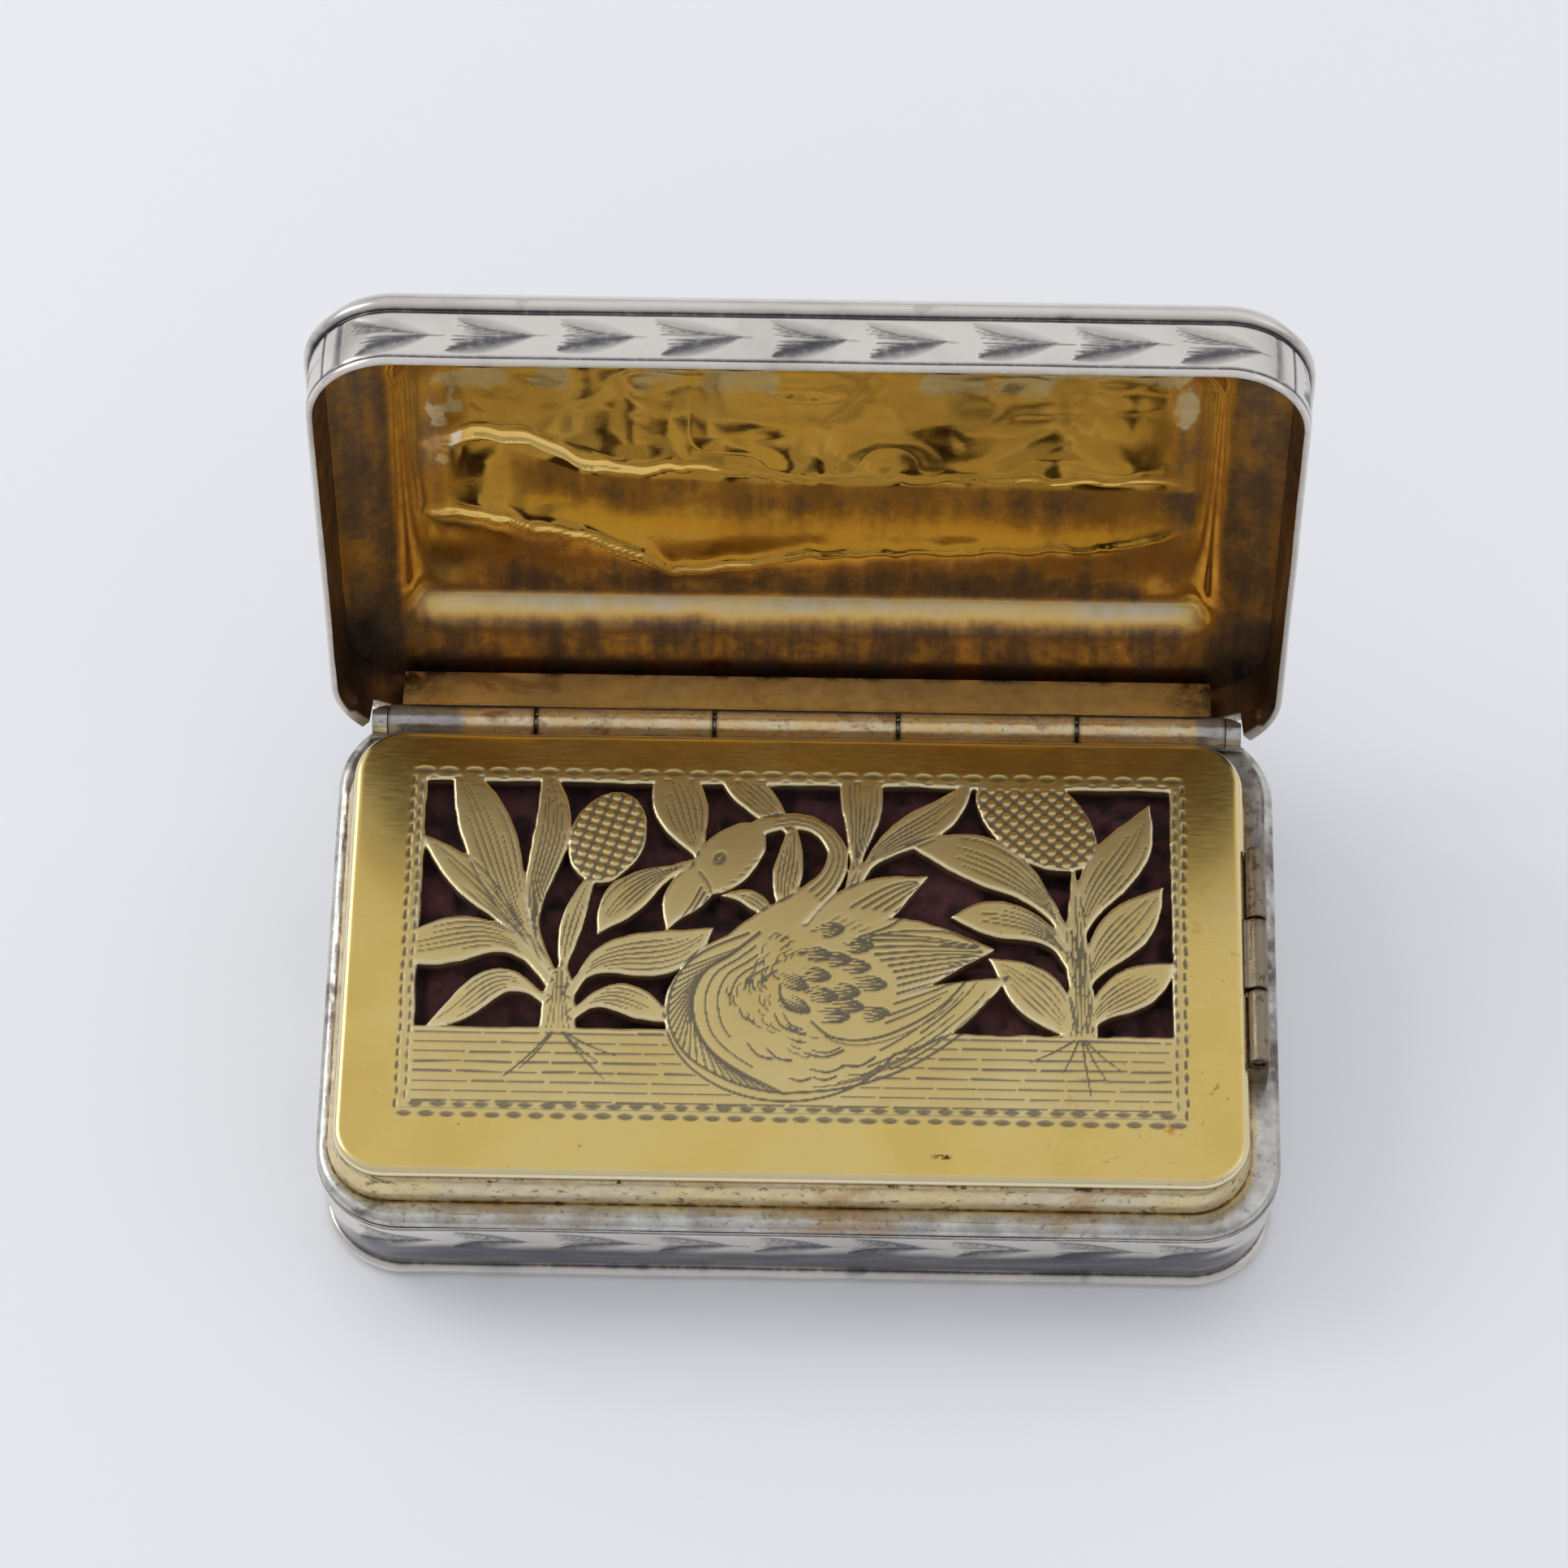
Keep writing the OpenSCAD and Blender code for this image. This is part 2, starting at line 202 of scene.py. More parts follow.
class Mat:
    """A small helper to write node materials."""

    def __init__(self, name):
        self.m = bpy.data.materials.new(name)
        self.m.use_nodes = True
        self.t = self.m.node_tree
        self.bsdf = self.t.nodes["Principled BSDF"]
        tc = self.t.nodes.new("ShaderNodeTexCoord")
        self.co = tc.outputs["Object"]

    def new(self, kind, **inputs):
        n = self.t.nodes.new(kind)
        for k, v in inputs.items():
            self.set(n.inputs[k.replace("_", " ")], v)
        return n

    def set(self, socket, v):
        if isinstance(v, bpy.types.NodeSocket):
            self.t.links.new(v, socket)
        else:
            socket.default_value = v

    def put(self, name, v):
        self.set(self.bsdf.inputs[name], v)

    def attr(self, name):
        n = self.t.nodes.new("ShaderNodeAttribute")
        n.attribute_name = name
        return n.outputs["Fac"]

    def noise(self, size_mm, detail=3.0, rough=0.55, distortion=0.0, vec=None):
        n = self.new("ShaderNodeTexNoise", Vector=vec or self.co, Scale=1000.0 / size_mm, Detail=detail, Roughness=rough, Distortion=distortion)
        return n.outputs["Fac"]

    def stretched(self, sx, sy, sz, turn=(0, 0, 0)):
        n = self.new("ShaderNodeMapping", Vector=self.co)
        n.inputs["Scale"].default_value = (sx, sy, sz)
        n.inputs["Rotation"].default_value = turn
        return n.outputs["Vector"]

    def ramp(self, fac, *stops):
        n = self.t.nodes.new("ShaderNodeValToRGB")
        e = n.color_ramp.elements
        while len(e) < len(stops):
            e.new(0.5)
        for el, (p, c) in zip(e, stops):
            el.position = p
            el.color = (*c, 1.0) if len(c) == 3 else c
        self.set(n.inputs["Fac"], fac)
        return n.outputs["Color"]

    def level(self, fac, a, b, lo=0.0, hi=1.0):
        n = self.t.nodes.new("ShaderNodeMapRange")
        n.interpolation_type = "SMOOTHSTEP"
        for k, v in (("Value", fac), ("From Min", a), ("From Max", b), ("To Min", lo), ("To Max", hi)):
            self.set(n.inputs[k], v)
        return n.outputs["Result"]

    def mix(self, fac, a, b):
        n = self.t.nodes.new("ShaderNodeMix")
        n.data_type = "RGBA"
        self.set(n.inputs[0], fac)
        self.set(n.inputs[6], (*a, 1.0) if isinstance(a, tuple) and len(a) == 3 else a)
        self.set(n.inputs[7], (*b, 1.0) if isinstance(b, tuple) and len(b) == 3 else b)
        return n.outputs[2]

    def math(self, op, a, b=0.5, clamp=False):
        n = self.t.nodes.new("ShaderNodeMath")
        n.operation = op
        n.use_clamp = clamp
        self.set(n.inputs[0], a)
        self.set(n.inputs[1], b)
        return n.outputs[0]

    def xyz(self):
        n = self.new("ShaderNodeSeparateXYZ", Vector=self.co)
        return n.outputs

    def bump(self, height, strength, dist_mm, normal=None):
        n = self.t.nodes.new("ShaderNodeBump")
        n.inputs["Strength"].default_value = strength
        n.inputs["Distance"].default_value = dist_mm * 0.001
        self.set(n.inputs["Height"], height)
        if normal is not None:
            self.set(n.inputs["Normal"], normal)
        return n.outputs["Normal"]


def silver_material():
    m = Mat("silver")
    dark = m.attr("dark")
    blue_reflection_and_tarnish = m.attr("blue_reflection_and_tarnish")
    cloud = m.noise(4.5, 4, 0.6)
    fine = m.noise(0.35, 3, 0.6)
    film = m.math("MULTIPLY", m.level(cloud, 0.45, 0.75), 0.35)
    grime = m.math("MULTIPLY", dark, m.level(fine, 0.15, 0.6, 0.6, 1.0))
    t = m.math("ADD", grime, m.math("MULTIPLY", film, 0.5), clamp=True)
    colour = m.ramp(t, (0.0, (0.77, 0.73, 0.67)), (0.25, (0.54, 0.505, 0.46)), (0.6, (0.17, 0.165, 0.17)), (1.0, (0.035, 0.036, 0.046)))
    # a dark blue-grey band low on the wall: on the front face it is a painted reflection of dark surroundings,
    # elsewhere patchy tarnish
    reflection_and_tarnish_mix = m.math("MULTIPLY", blue_reflection_and_tarnish, m.level(m.noise(0.9, 4, 0.6, vec=m.stretched(0.25, 0.25, 1.6)), 0.25, 0.6, 0.80, 1.0))
    m.put("Base Color", m.mix(reflection_and_tarnish_mix, colour, (0.034, 0.039, 0.060)))
    m.put("Metallic", 1.0)
    streak = m.noise(0.6, 3, 0.6, vec=m.stretched(0.12, 0.12, 1.6))
    m.put("Roughness", m.math("ADD", m.level(m.math("ADD", m.math("MULTIPLY", streak, 0.5), m.math("MULTIPLY", fine, 0.5)), 0.3, 0.7, 0.13, 0.26), m.math("MULTIPLY", grime, 0.22)))
    scratch = m.noise(0.16, 2, 0.5, vec=m.stretched(0.1, 0.1, 1.0, (0.3, 0.2, 0.4)))
    n = m.bump(scratch, 0.22, 0.012)
    n = m.bump(m.noise(1.7, 2, 0.5), 0.25, 0.05, n)
    m.put("Normal", n)
    return m.m


def rim_material():
    """Silver ledge with the gilding of the bezel's foot worn over it, and brown stains."""
    m = Mat("rim_silver_gilt")
    gilt = m.attr("gilt")
    dark = m.attr("dark")
    edge = m.noise(1.6, 4, 0.65, vec=m.stretched(0.4, 0.4, 1.0))
    g = m.level(m.math("ADD", gilt, m.math("MULTIPLY", m.math("SUBTRACT", edge, 0.5), 1.0)), 0.45, 0.85)
    stain = m.level(m.noise(3.2, 4, 0.6, 0.6, vec=m.stretched(0.5, 0.5, 1.0)), 0.54, 0.70)
    grey = m.ramp(m.noise(1.2, 4, 0.65), (0.35, (0.66, 0.65, 0.61)), (0.62, (0.44, 0.42, 0.38)))
    silver = m.mix(m.math("MULTIPLY", stain, 0.65), grey, (0.44, 0.27, 0.11))
    colour = m.mix(g, silver, m.mix(stain, (0.66, 0.53, 0.30), (0.44, 0.27, 0.11)))
    speck = m.level(m.noise(0.26, 4, 0.7), 0.56, 0.68)
    t = m.math("MAXIMUM", m.math("MULTIPLY", speck, 0.5), m.math("MULTIPLY", dark, m.level(m.noise(0.5, 3, 0.6), 0.3, 0.6, 0.4, 1.0)))
    m.put("Base Color", m.mix(t, colour, (0.09, 0.06, 0.045)))
    m.put("Metallic", 1.0)
    m.put("Roughness", m.level(m.noise(0.5, 3, 0.6), 0.3, 0.7, 0.22, 0.40))
    m.put("Normal", m.bump(m.noise(0.7, 4, 0.6), 0.35, 0.04))
    return m.m


def bezel_material(name, fresh, worn, stain, rough, metal=1.0, specks=0.7):
    """Worn gilding: two shades in drawn-out clouds, stains, specks, and darkening where 'dark' says: dirt in some
    places, painted shade in others.
    """
    m = Mat(name)
    dark = m.attr("dark")
    cloud = m.level(m.noise(3.2, 4, 0.6, 0.4, vec=m.stretched(0.5, 0.5, 1.0)), 0.40, 0.66)
    colour = m.mix(cloud, fresh, worn)
    orange = m.level(m.noise(2.2, 4, 0.6, 0.8, vec=m.stretched(0.6, 0.6, 1.0)), 0.57, 0.70)
    colour = m.mix(m.math("MULTIPLY", orange, 0.7), colour, stain)
    speck = m.level(m.noise(0.3, 4, 0.7, vec=m.stretched(0.5, 0.5, 1.0)), 0.555, 0.65)
    t = m.math("ADD", m.math("MULTIPLY", speck, specks), m.math("MULTIPLY", dark, m.level(m.noise(0.5, 3, 0.6), 0.3, 0.6, 0.4, 1.0)), clamp=True)
    m.put("Base Color", m.mix(t, colour, (0.10, 0.055, 0.03)))
    m.put("Metallic", metal)
    m.put("Roughness", m.level(m.noise(0.6, 3, 0.6), 0.3, 0.7, rough, rough + 0.2))
    m.put("Normal", m.bump(m.noise(0.5, 4, 0.6), 0.35, 0.03))
    return m.m


def grille_material():
    """Buffed gilt plate: grey where lines are cut, duller in the engraved field, a few brown spots, and pale painted
    highlights along its rounded edges.
    """
    m = Mat("grille_gilt")
    line = m.attr("line")
    edge = m.attr("edge")
    dull = m.attr("dull")
    x, y, z = m.xyz()
    cloud = m.noise(5.0, 4, 0.55, 0.3)
    fine = m.noise(0.12, 2, 0.5)
    colour = m.ramp(cloud, (0.3, (0.70, 0.49, 0.135)), (0.5, (0.74, 0.545, 0.165)), (0.7, (0.74, 0.57, 0.21)))
    colour = m.mix(m.math("MULTIPLY", dull, 0.85), colour, m.ramp(cloud, (0.35, (0.65, 0.50, 0.205)), (0.65, (0.73, 0.59, 0.285))))
    # pale where 'edge' is set, along the rounded edges: painted highlight
    colour = m.mix(m.math("MULTIPLY", edge, 0.75), colour, (0.94, 0.87, 0.66))
    right = m.math("MULTIPLY", m.level(x, 0.0060, 0.0155), m.level(y, 0.006, -0.005))
    spots = m.level(m.noise(0.8, 5, 0.7, 0.6), 0.585, 0.70)
    colour = m.mix(m.math("MULTIPLY", m.math("MULTIPLY", spots, right), 0.85), colour, (0.48, 0.19, 0.03))
    mark = m.math("MULTIPLY", m.math("MULTIPLY", m.level(x, 0.0050, 0.0056), m.level(x, 0.0060, 0.0058)),
                  m.math("MULTIPLY", m.level(y, -0.00918, -0.00908), m.level(y, -0.00888, -0.00898)))
    colour = m.mix(m.math("MULTIPLY", mark, m.level(m.noise(0.25, 3, 0.6), 0.35, 0.5)), colour, (0.12, 0.05, 0.02))
    dots = m.level(m.noise(0.3, 3, 0.6), 0.715, 0.75)
    colour = m.mix(m.math("MULTIPLY", dots, 0.6), colour, (0.30, 0.14, 0.04))
    cut = m.level(m.math("MULTIPLY", line, m.level(fine, 0.1, 0.6, 0.85, 1.0)), 0.05, 0.9)
    colour = m.mix(cut, colour, (0.200, 0.172, 0.120))
    m.put("Base Color", colour)
    m.put("Metallic", 1.0)
    buff = m.noise(0.10, 3, 0.6, vec=m.stretched(0.10, 1.0, 1.0, (0, 0, 0.08)))
    rough = m.level(m.math("ADD", m.math("MULTIPLY", buff, 0.6), m.math("MULTIPLY", cloud, 0.4)), 0.3, 0.7, 0.20, 0.30)
    rough = m.math("ADD", rough, m.math("MULTIPLY", dull, 0.08))
    m.put("Roughness", m.math("ADD", rough, m.math("MULTIPLY", cut, 0.12)))
    n = m.bump(buff, 0.02, 0.008)
    n = m.bump(m.noise(3.0, 2, 0.5), 0.08, 0.05, n)
    m.put("Normal", n)
    return m.m


def lid_gilt_material():
    """Gilding inside the lid, from bright gold through amber to dark brown, and pale where it is rubbed off."""
    m = Mat("lid_gilt")
    tarnish_and_sheen = m.attr("tarnish_and_sheen")
    bare = m.attr("bare")
    rear_cove_sheen = m.attr("rear_cove_sheen")
    cloud = m.noise(2.4, 5, 0.65, 0.5)
    fine = m.noise(0.4, 4, 0.65)
    streak = m.noise(0.8, 4, 0.6, vec=m.stretched(1.0, 0.15, 0.15))
    spread = m.level(tarnish_and_sheen, 0.1, 0.5, 0.30, 1.0)
    wob = m.math("ADD", m.math("MULTIPLY", m.math("SUBTRACT", cloud, 0.5), 0.7), m.math("MULTIPLY", m.math("SUBTRACT", fine, 0.5), 0.3))
    wob = m.math("ADD", wob, m.math("MULTIPLY", m.math("SUBTRACT", streak, 0.5), 0.6))
    # the value is tarnish, lowered along the coves where a highlight is painted
    v = m.math("ADD", tarnish_and_sheen, m.math("MULTIPLY", wob, spread), clamp=True)
    colour = m.ramp(v, (0.0, (0.90, 0.62, 0.20)), (0.20, (0.82, 0.52, 0.135)), (0.42, (0.54, 0.29, 0.085)), (0.68, (0.20, 0.125, 0.075)), (1.0, (0.055, 0.042, 0.040)))
    pale = m.level(m.math("ADD", bare, m.math("MULTIPLY", m.math("SUBTRACT", fine, 0.5), 0.9)), 0.4, 0.7)
    colour = m.mix(m.math("MULTIPLY", pale, 0.85), colour, (0.78, 0.70, 0.56))
    # pale silvery streaks where the mesh asks: a painted highlight on the rear cove
    colour = m.mix(rear_cove_sheen, colour, m.ramp(streak, (0.35, (0.56, 0.44, 0.23)), (0.65, (0.62, 0.55, 0.42))))
    m.put("Base Color", colour)
    m.put("Metallic", 1.0)
    rough = m.math("ADD", m.level(v, 0.1, 0.9, 0.08, 0.44), m.math("MULTIPLY", m.math("SUBTRACT", streak, 0.5), 0.06))
    m.put("Roughness", m.math("ADD", rough, m.math("MULTIPLY", rear_cove_sheen, 0.12)))
    m.put("Normal", m.bump(m.noise(0.3, 4, 0.6), 0.12, 0.012))
    return m.m


def worn_material():
    """Hinge knuckles: gilding worn to copper and grey solder."""
    m = Mat("worn_gilt")
    grey = m.attr("grey")
    dark = m.attr("dark")
    blot = m.noise(1.3, 5, 0.65, 0.5)
    streak = m.noise(0.5, 4, 0.65, vec=m.stretched(0.3, 1.0, 1.0))
    colour = m.ramp(blot, (0.3, (0.88, 0.68, 0.36)), (0.46, (0.86, 0.63, 0.31)), (0.55, (0.88, 0.74, 0.48)), (0.68, (0.50, 0.29, 0.13)))
    g = m.level(m.math("ADD", grey, m.math("MULTIPLY", m.math("SUBTRACT", streak, 0.5), 0.9)), 0.35, 0.7)
    colour = m.mix(g, colour, m.ramp(blot, (0.3, (0.62, 0.61, 0.57)), (0.6, (0.40, 0.38, 0.36))))
    speck = m.level(m.noise(0.2, 4, 0.7), 0.58, 0.7)
    # 'dark' brings the dark ends of the tubes and, on the base tubes, painted shade on their lower front
    t = m.math("MAXIMUM", m.math("MULTIPLY", speck, 0.6), dark)
    m.put("Base Color", m.mix(t, colour, (0.09, 0.055, 0.035)))
    m.put("Metallic", 0.8)
    m.put("Roughness", m.level(streak, 0.3, 0.7, 0.24, 0.46))
    m.put("Normal", m.bump(m.noise(0.35, 4, 0.65), 0.5, 0.05))
    return m.m


def steel_material():
    m = Mat("pin_steel")
    s = m.noise(0.4, 3, 0.6, vec=m.stretched(0.1, 0.1, 1.0))
    m.put("Base Color", m.ramp(s, (0.3, (0.36, 0.35, 0.34)), (0.7, (0.50, 0.48, 0.46))))
    m.put("Metallic", 1.0)
    m.put("Roughness", m.level(s, 0.3, 0.7, 0.28, 0.42))
    m.put("Normal", m.bump(s, 0.2, 0.02))
    return m.m


def sponge_material():
    m = Mat("sponge_stained")
    a = m.noise(0.9, 5, 0.7)
    pore = m.attr("pore")
    colour = m.ramp(a, (0.3, (0.040, 0.013, 0.015)), (0.55, (0.11, 0.032, 0.036)), (0.75, (0.20, 0.058, 0.056)))
    # pores nearly black: painted shade in the hollows
    m.put("Base Color", m.mix(m.math("MULTIPLY", pore, 0.8), colour, (0.010, 0.005, 0.006)))
    m.put("Roughness", m.level(a, 0.3, 0.7, 0.75, 0.95))
    m.bsdf.inputs["Sheen Weight"].default_value = 0.15
    m.put("Normal", m.bump(m.noise(0.25, 4, 0.7), 0.7, 0.12))
    return m.m


SILVER = silver_material()
RIMMAT = rim_material()
BEZELMAT = bezel_material("bezel_gilt", (0.80, 0.65, 0.36), (0.74, 0.65, 0.46), (0.48, 0.27, 0.10), 0.22)
STRIP = bezel_material("strip_gilt", (0.88, 0.64, 0.25), (0.80, 0.56, 0.22), (0.46, 0.24, 0.08), 0.28, 0.85, 0.12)
SEAT = bezel_material("hinge_tarnished", (0.28, 0.235, 0.165), (0.18, 0.155, 0.12), (0.22, 0.13, 0.06), 0.28)
GRILLE = grille_material()
LIDGILT = lid_gilt_material()
WORN = worn_material()
STEEL = steel_material()
SPONGE = sponge_material()


# ------------------------------------------------------- engraved bands

def side_coordinates(p, nor):
    """Which side each outline point is on (0 rear, 1 left, 2 front, 3 right), and how far along it, half-way round the corners."""
    faces = np.array(((0, 1), (-1, 0), (0, -1), (1, 0)), float)
    side = np.argmax(nor @ faces.T, axis=1)
    u = np.zeros(len(p))
    for k, n in enumerate(faces):
        on = side == k
        t = np.array((-n[1], n[0]))
        a = np.arcsin(np.clip(nor[on] @ t, -1, 1))
        u[on] = p[on] @ t + CORNER * (a - np.sin(a))
    return side, u


def blade(u, w, a, b, half, lean, depth):
    """A leaf-shaped slanting cut from point a to point b: (depth there, how dark it is)."""
    a, b = np.array(a, float), np.array(b, float)
    d = b - a
    length = np.hypot(*d)
    d = d / length
    t = ((u - a[0]) * d[0] + (w - a[1]) * d[1]) / length
    e = -(u - a[0]) * d[1] + (w - a[1]) * d[0]
    ok = (t > 0) & (t < 1)
    tt = np.clip(t, 0, 1)
    h = half * np.sin(np.pi * tt ** 0.8) ** 0.8 + 1e-6
    q = np.clip(e / h * lean, -1, 1)
    inside = ok & (np.abs(e) < h)
    face = np.where(q < -0.5, (q + 1) / 0.5, (1 - q) / 1.5)
    return np.where(inside, depth * face * np.minimum(h / half, 1), 0), np.where(inside, face, 0)


def band_relief(u, w, half_len, count, size, tone, seed):
    """Bright-cut arrow leaves in a row: (height, how dark), w from the row's middle; size is half their height."""
    z = np.zeros_like(u)
    dark = np.zeros_like(u)
    pitch = 2 * half_len / count
    r = np.random.default_rng(seed)
    for k in range(count):
        c = -half_len + (k + 0.5) * pitch + r.uniform(-0.18, 0.18)
        near = np.abs(u - c) < pitch
        if not near.any():
            continue
        uu, ww = u[near], w[near]
        tip = np.array((c + 1.45 + r.uniform(-0.12, 0.12), r.uniform(-0.12, 0.06) * size))
        zz, dd = np.zeros_like(uu), np.zeros_like(uu)
        for up in (1, -1):
            tail = np.array((c - 1.65 + r.uniform(-0.25, 0.2), up * (0.9 + r.uniform(-0.1, 0.1)) * size))
            cut, face = blade(uu, ww, tail, tip, (0.26 if up > 0 else 0.36) * size / 0.8, up, 0.085)
            zz = np.minimum(zz, -cut)
            dd = np.maximum(dd, face ** 0.7 * (tone[0] if up > 0 else tone[1]))
            for q in (0.0, 0.25, 0.5, 0.75):
                a = tail + np.array((0.3 * q + r.uniform(-0.1, 0.1), -up * (0.20 + 0.75 * q) * size))
                b = tip + np.array((-0.25, up * 0.05 * size))
                cut, face = blade(uu, ww, a, b, 0.11, 1, 0.03)
                zz = np.minimum(zz, -cut)
                dd = np.maximum(dd, face * (0.55 if up > 0 else 0.75))
        cut, face = blade(uu, ww, tip - np.array((0.5, 0)), tip + np.array((0.65, -0.06 * size)), 0.06, 1, 0.02)
        dd = np.maximum(dd, 0.6 * face)
        z[near] = np.minimum(z[near], np.minimum(zz, -cut))
        dark[near] = np.maximum(dark[near], dd)
    return z, dark


def engraved_wall(p, nor, z_all, mid, size, tone, borders, seed):
    """Relief and darkness for a whole wall, at heights z_all (rows by outline points)."""
    n = len(p)
    side, u = side_coordinates(p, nor)
    rows = len(z_all) // n
    uu, ss = np.tile(u, rows), np.tile(side, rows)
    ww = z_all - mid
    z = np.zeros(len(uu))
    dark = np.zeros(len(uu))
    lo, hi = min(borders), max(borders)
    for k, (half_len, count) in enumerate(COUNTS):
        on = ss == k
        a, b = band_relief(uu[on], ww[on], half_len, count, size, tone, seed + k)
        # an upright line near each corner closes the side's panel
        line = np.clip(1 - (np.abs(np.abs(uu[on]) - half_len - 0.2) / 0.10) ** 2, 0, 1) * (z_all[on] > lo) * (z_all[on] < hi)
        z[on], dark[on] = a - 0.03 * line, np.maximum(b, 0.8 * line)
    for level in borders:
        line = np.clip(1 - (np.abs(z_all - level) / 0.08) ** 2, 0, 1)
        z -= 0.035 * line
        dark = np.maximum(dark, 0.85 * line)
    return z, dark


COUNTS = ((17.6, 9), (9.95, 5), (17.6, 9), (9.95, 5))


def base_lean(z):
    return TAPER * (1 - np.clip((np.asarray(z, float) - 0.83) / (4.9 - 0.83), 0, 1))


def base_wall():
    p, nor = base_outline(nl=400, ns=200, nc=40)
    n = len(p)
    zs = np.linspace(0.5, 4.9, 62)
    flat = np.repeat(zs, n)
    relief, dark = engraved_wall(p, nor, flat, 3.72, 0.86, (0.40, 0.78), (4.74,), 40)
    belly = 0.10 * (1 - ((zs - 2.9) / 2.5) ** 2) - base_lean(zs)
    belly -= 0.05 * smooth(4.78, 4.9, zs)
    nn = np.tile(nor, (len(zs), 1))
    v = np.c_[np.tile(p, (len(zs), 1)) + nn * (np.repeat(belly, n) + relief)[:, None], flat]
    v[:, :2] += nn * (0.025 * fbm(v, 4.0, 2, 5))[:, None]
    dark = np.maximum(dark, np.repeat(0.55 * smooth(0.98, 0.80, zs), n))
    dark = np.maximum(dark, np.repeat(0.8 * smooth(4.82, 4.9, zs), n))
    wave = 0.35 * fbm(np.c_[v[:, 0], v[:, 1], np.zeros(len(v))], 3.5, 3, 15)
    # the dark blue band is strongest on the front face, where it is a painted reflection of dark surroundings;
    # elsewhere it comes in tarnish patches
    front_reflection = smooth(-0.45, -0.95, nn[:, 1])
    patch = smooth(-0.25, 0.35, fbm(v * np.array([0.6, 0.6, 1.2]), 2.6, 3, 16))
    blue_reflection_and_tarnish = (0.95 * front_reflection + 0.38 * patch * (1 - front_reflection)) * smooth(2.85, 2.05, flat + wave - 0.55 * front_reflection) * smooth(0.85, 1.3, flat - 0.5 * wave)
    inner = p - nor * SHEET
    low = p - nor * (SHEET + TAPER)
    v = np.concatenate([v, np.c_[inner, np.full(n, 4.9)], np.c_[low, np.full(n, 0.83)], np.c_[low, np.full(n, 0.5)]])
    ob = make("base_wall_engraved", v, strips(len(zs) + 3, n, True), mats=[SILVER],
              attrs={"dark": np.concatenate([dark, np.full(3 * n, 0.5)]), "blue_reflection_and_tarnish": np.concatenate([blue_reflection_and_tarnish, np.zeros(3 * n)])})
    return place(ob, "base", "silver", "base_wall")


def thread(name, z, body, node, lid=False):
    """Half-round wire around the box, a little bruised."""
    p, nor = outline(nl=300, ns=170, nc=36) if lid else base_outline(TAPER, nl=300, ns=170, nc=36)
    n = len(p)
    rows, dark = [], []
    a = np.radians(np.linspace(-90, 90, 15))
    for k in a:
        off = THREAD * math.cos(k)
        q = p + nor * off
        r = np.c_[q, np.full(n, z + THREAD * math.sin(k))]
        bump = 0.04 * np.minimum(fbm(r, 2.3, 3, 11), 0.15) * math.cos(k)
        r[:, :2] += nor * bump[:, None]
        rows.append(r)
        dark.append(0.7 * abs(math.sin(k)) ** 8 + 0.2 * smooth(0.30, 0.5, fbm(r, 1.2, 3, 12)))
    back = p - nor * 0.02
    rows.append(np.c_[back, np.full(n, z + THREAD)])
    rows.append(np.c_[back, np.full(n, z - THREAD)])
    dark += [np.full(n, 0.9)] * 2
    v = np.concatenate(rows)
    if lid:
        v = lid_pose(v)
    ob = make(name, v, strips(len(rows), n, True), mats=[SILVER], attrs={"dark": np.concatenate(dark)}, sharp=60)
    return place(ob, body, "silver", node)


def rim_ledge():
    p, nor = base_outline(nl=300, ns=170, nc=36)
    b, bn = rrect(*BEZEL, nl=300, ns=170, nc=36)
    foot = b + bn * 0.28
    n = len(p)
    r = 0.36
    rows, gilt, dark = [], [], []

    def row(xy, z, g, d):
        rows.append(np.c_[xy, np.broadcast_to(z, n)])
        gilt.append(np.broadcast_to(g, n))
        dark.append(np.broadcast_to(d, n))

    row(p - nor * 0.05, 4.9, 0, 0.8)
    row(p - nor * 0.01, 4.96, 0, 0.35)
    for z in (4.99, RIM - r):
        row(p, z, 0, 0.05)
    for k in np.radians([15, 30, 45, 60, 75, 90]):
        row(p - nor * r * (1 - math.cos(k)), RIM - r + r * math.sin(k), 0, 0.0)
    inner = p - nor * r
    for q in np.linspace(0, 1, 16)[1:]:
        xy = inner * (1 - q) + foot * q
        wave = 0.02 * fbm(np.c_[xy, np.zeros(n)], 1.4, 3, 3)
        row(xy, RIM - 0.04 * q * q + wave * (q < 0.99), smooth(0.35, 0.95, q), 0.8 * smooth(0.84, 1.0, q))
    row(b, 4.9, 1, 0.5)
    v = np.concatenate(rows)
    # room for the hinge along the rear
    y, z = v[:, 1] - HINGE_Y, v[:, 2]
    seat = np.abs(v[:, 0]) < 17.6
    groove = HINGE_Z - np.sqrt(np.clip(0.79 ** 2 - y ** 2, 0, None))
    bevel = HINGE_Z - np.maximum(y, 0) * 1.257
    v[:, 2] = np.where(seat & (y > -0.79), np.minimum(z, np.where(np.abs(y) < 0.79, groove, z)), z)
    v[:, 2] = np.where((y > 0) & (v[:, 2] > 4.95), np.minimum(v[:, 2], np.maximum(bevel, 4.95)), v[:, 2])
    dark = np.concatenate(dark)
    # black tarnish beside the grille's hinge, patches elsewhere
    patch = fbm(v, 1.3, 4, 33)
    dark = np.maximum(dark, 0.85 * smooth(16.9, 17.6, v[:, 0]) * smooth(6.8, 4.5, np.abs(v[:, 1] - 0.3)) * smooth(-0.5, 0.15, patch))
    dark = np.maximum(dark, 0.75 * smooth(0.22, 0.42, patch) * smooth(-12.5, -14.0, -np.abs(v[:, 0])))
    ob = make("base_rim_ledge_worn", v, strips(len(rows), n, True), mats=[RIMMAT], attrs={"gilt": np.concatenate(gilt), "dark": dark})
    return place(ob, "base", "silver", "base_rim_ledge")


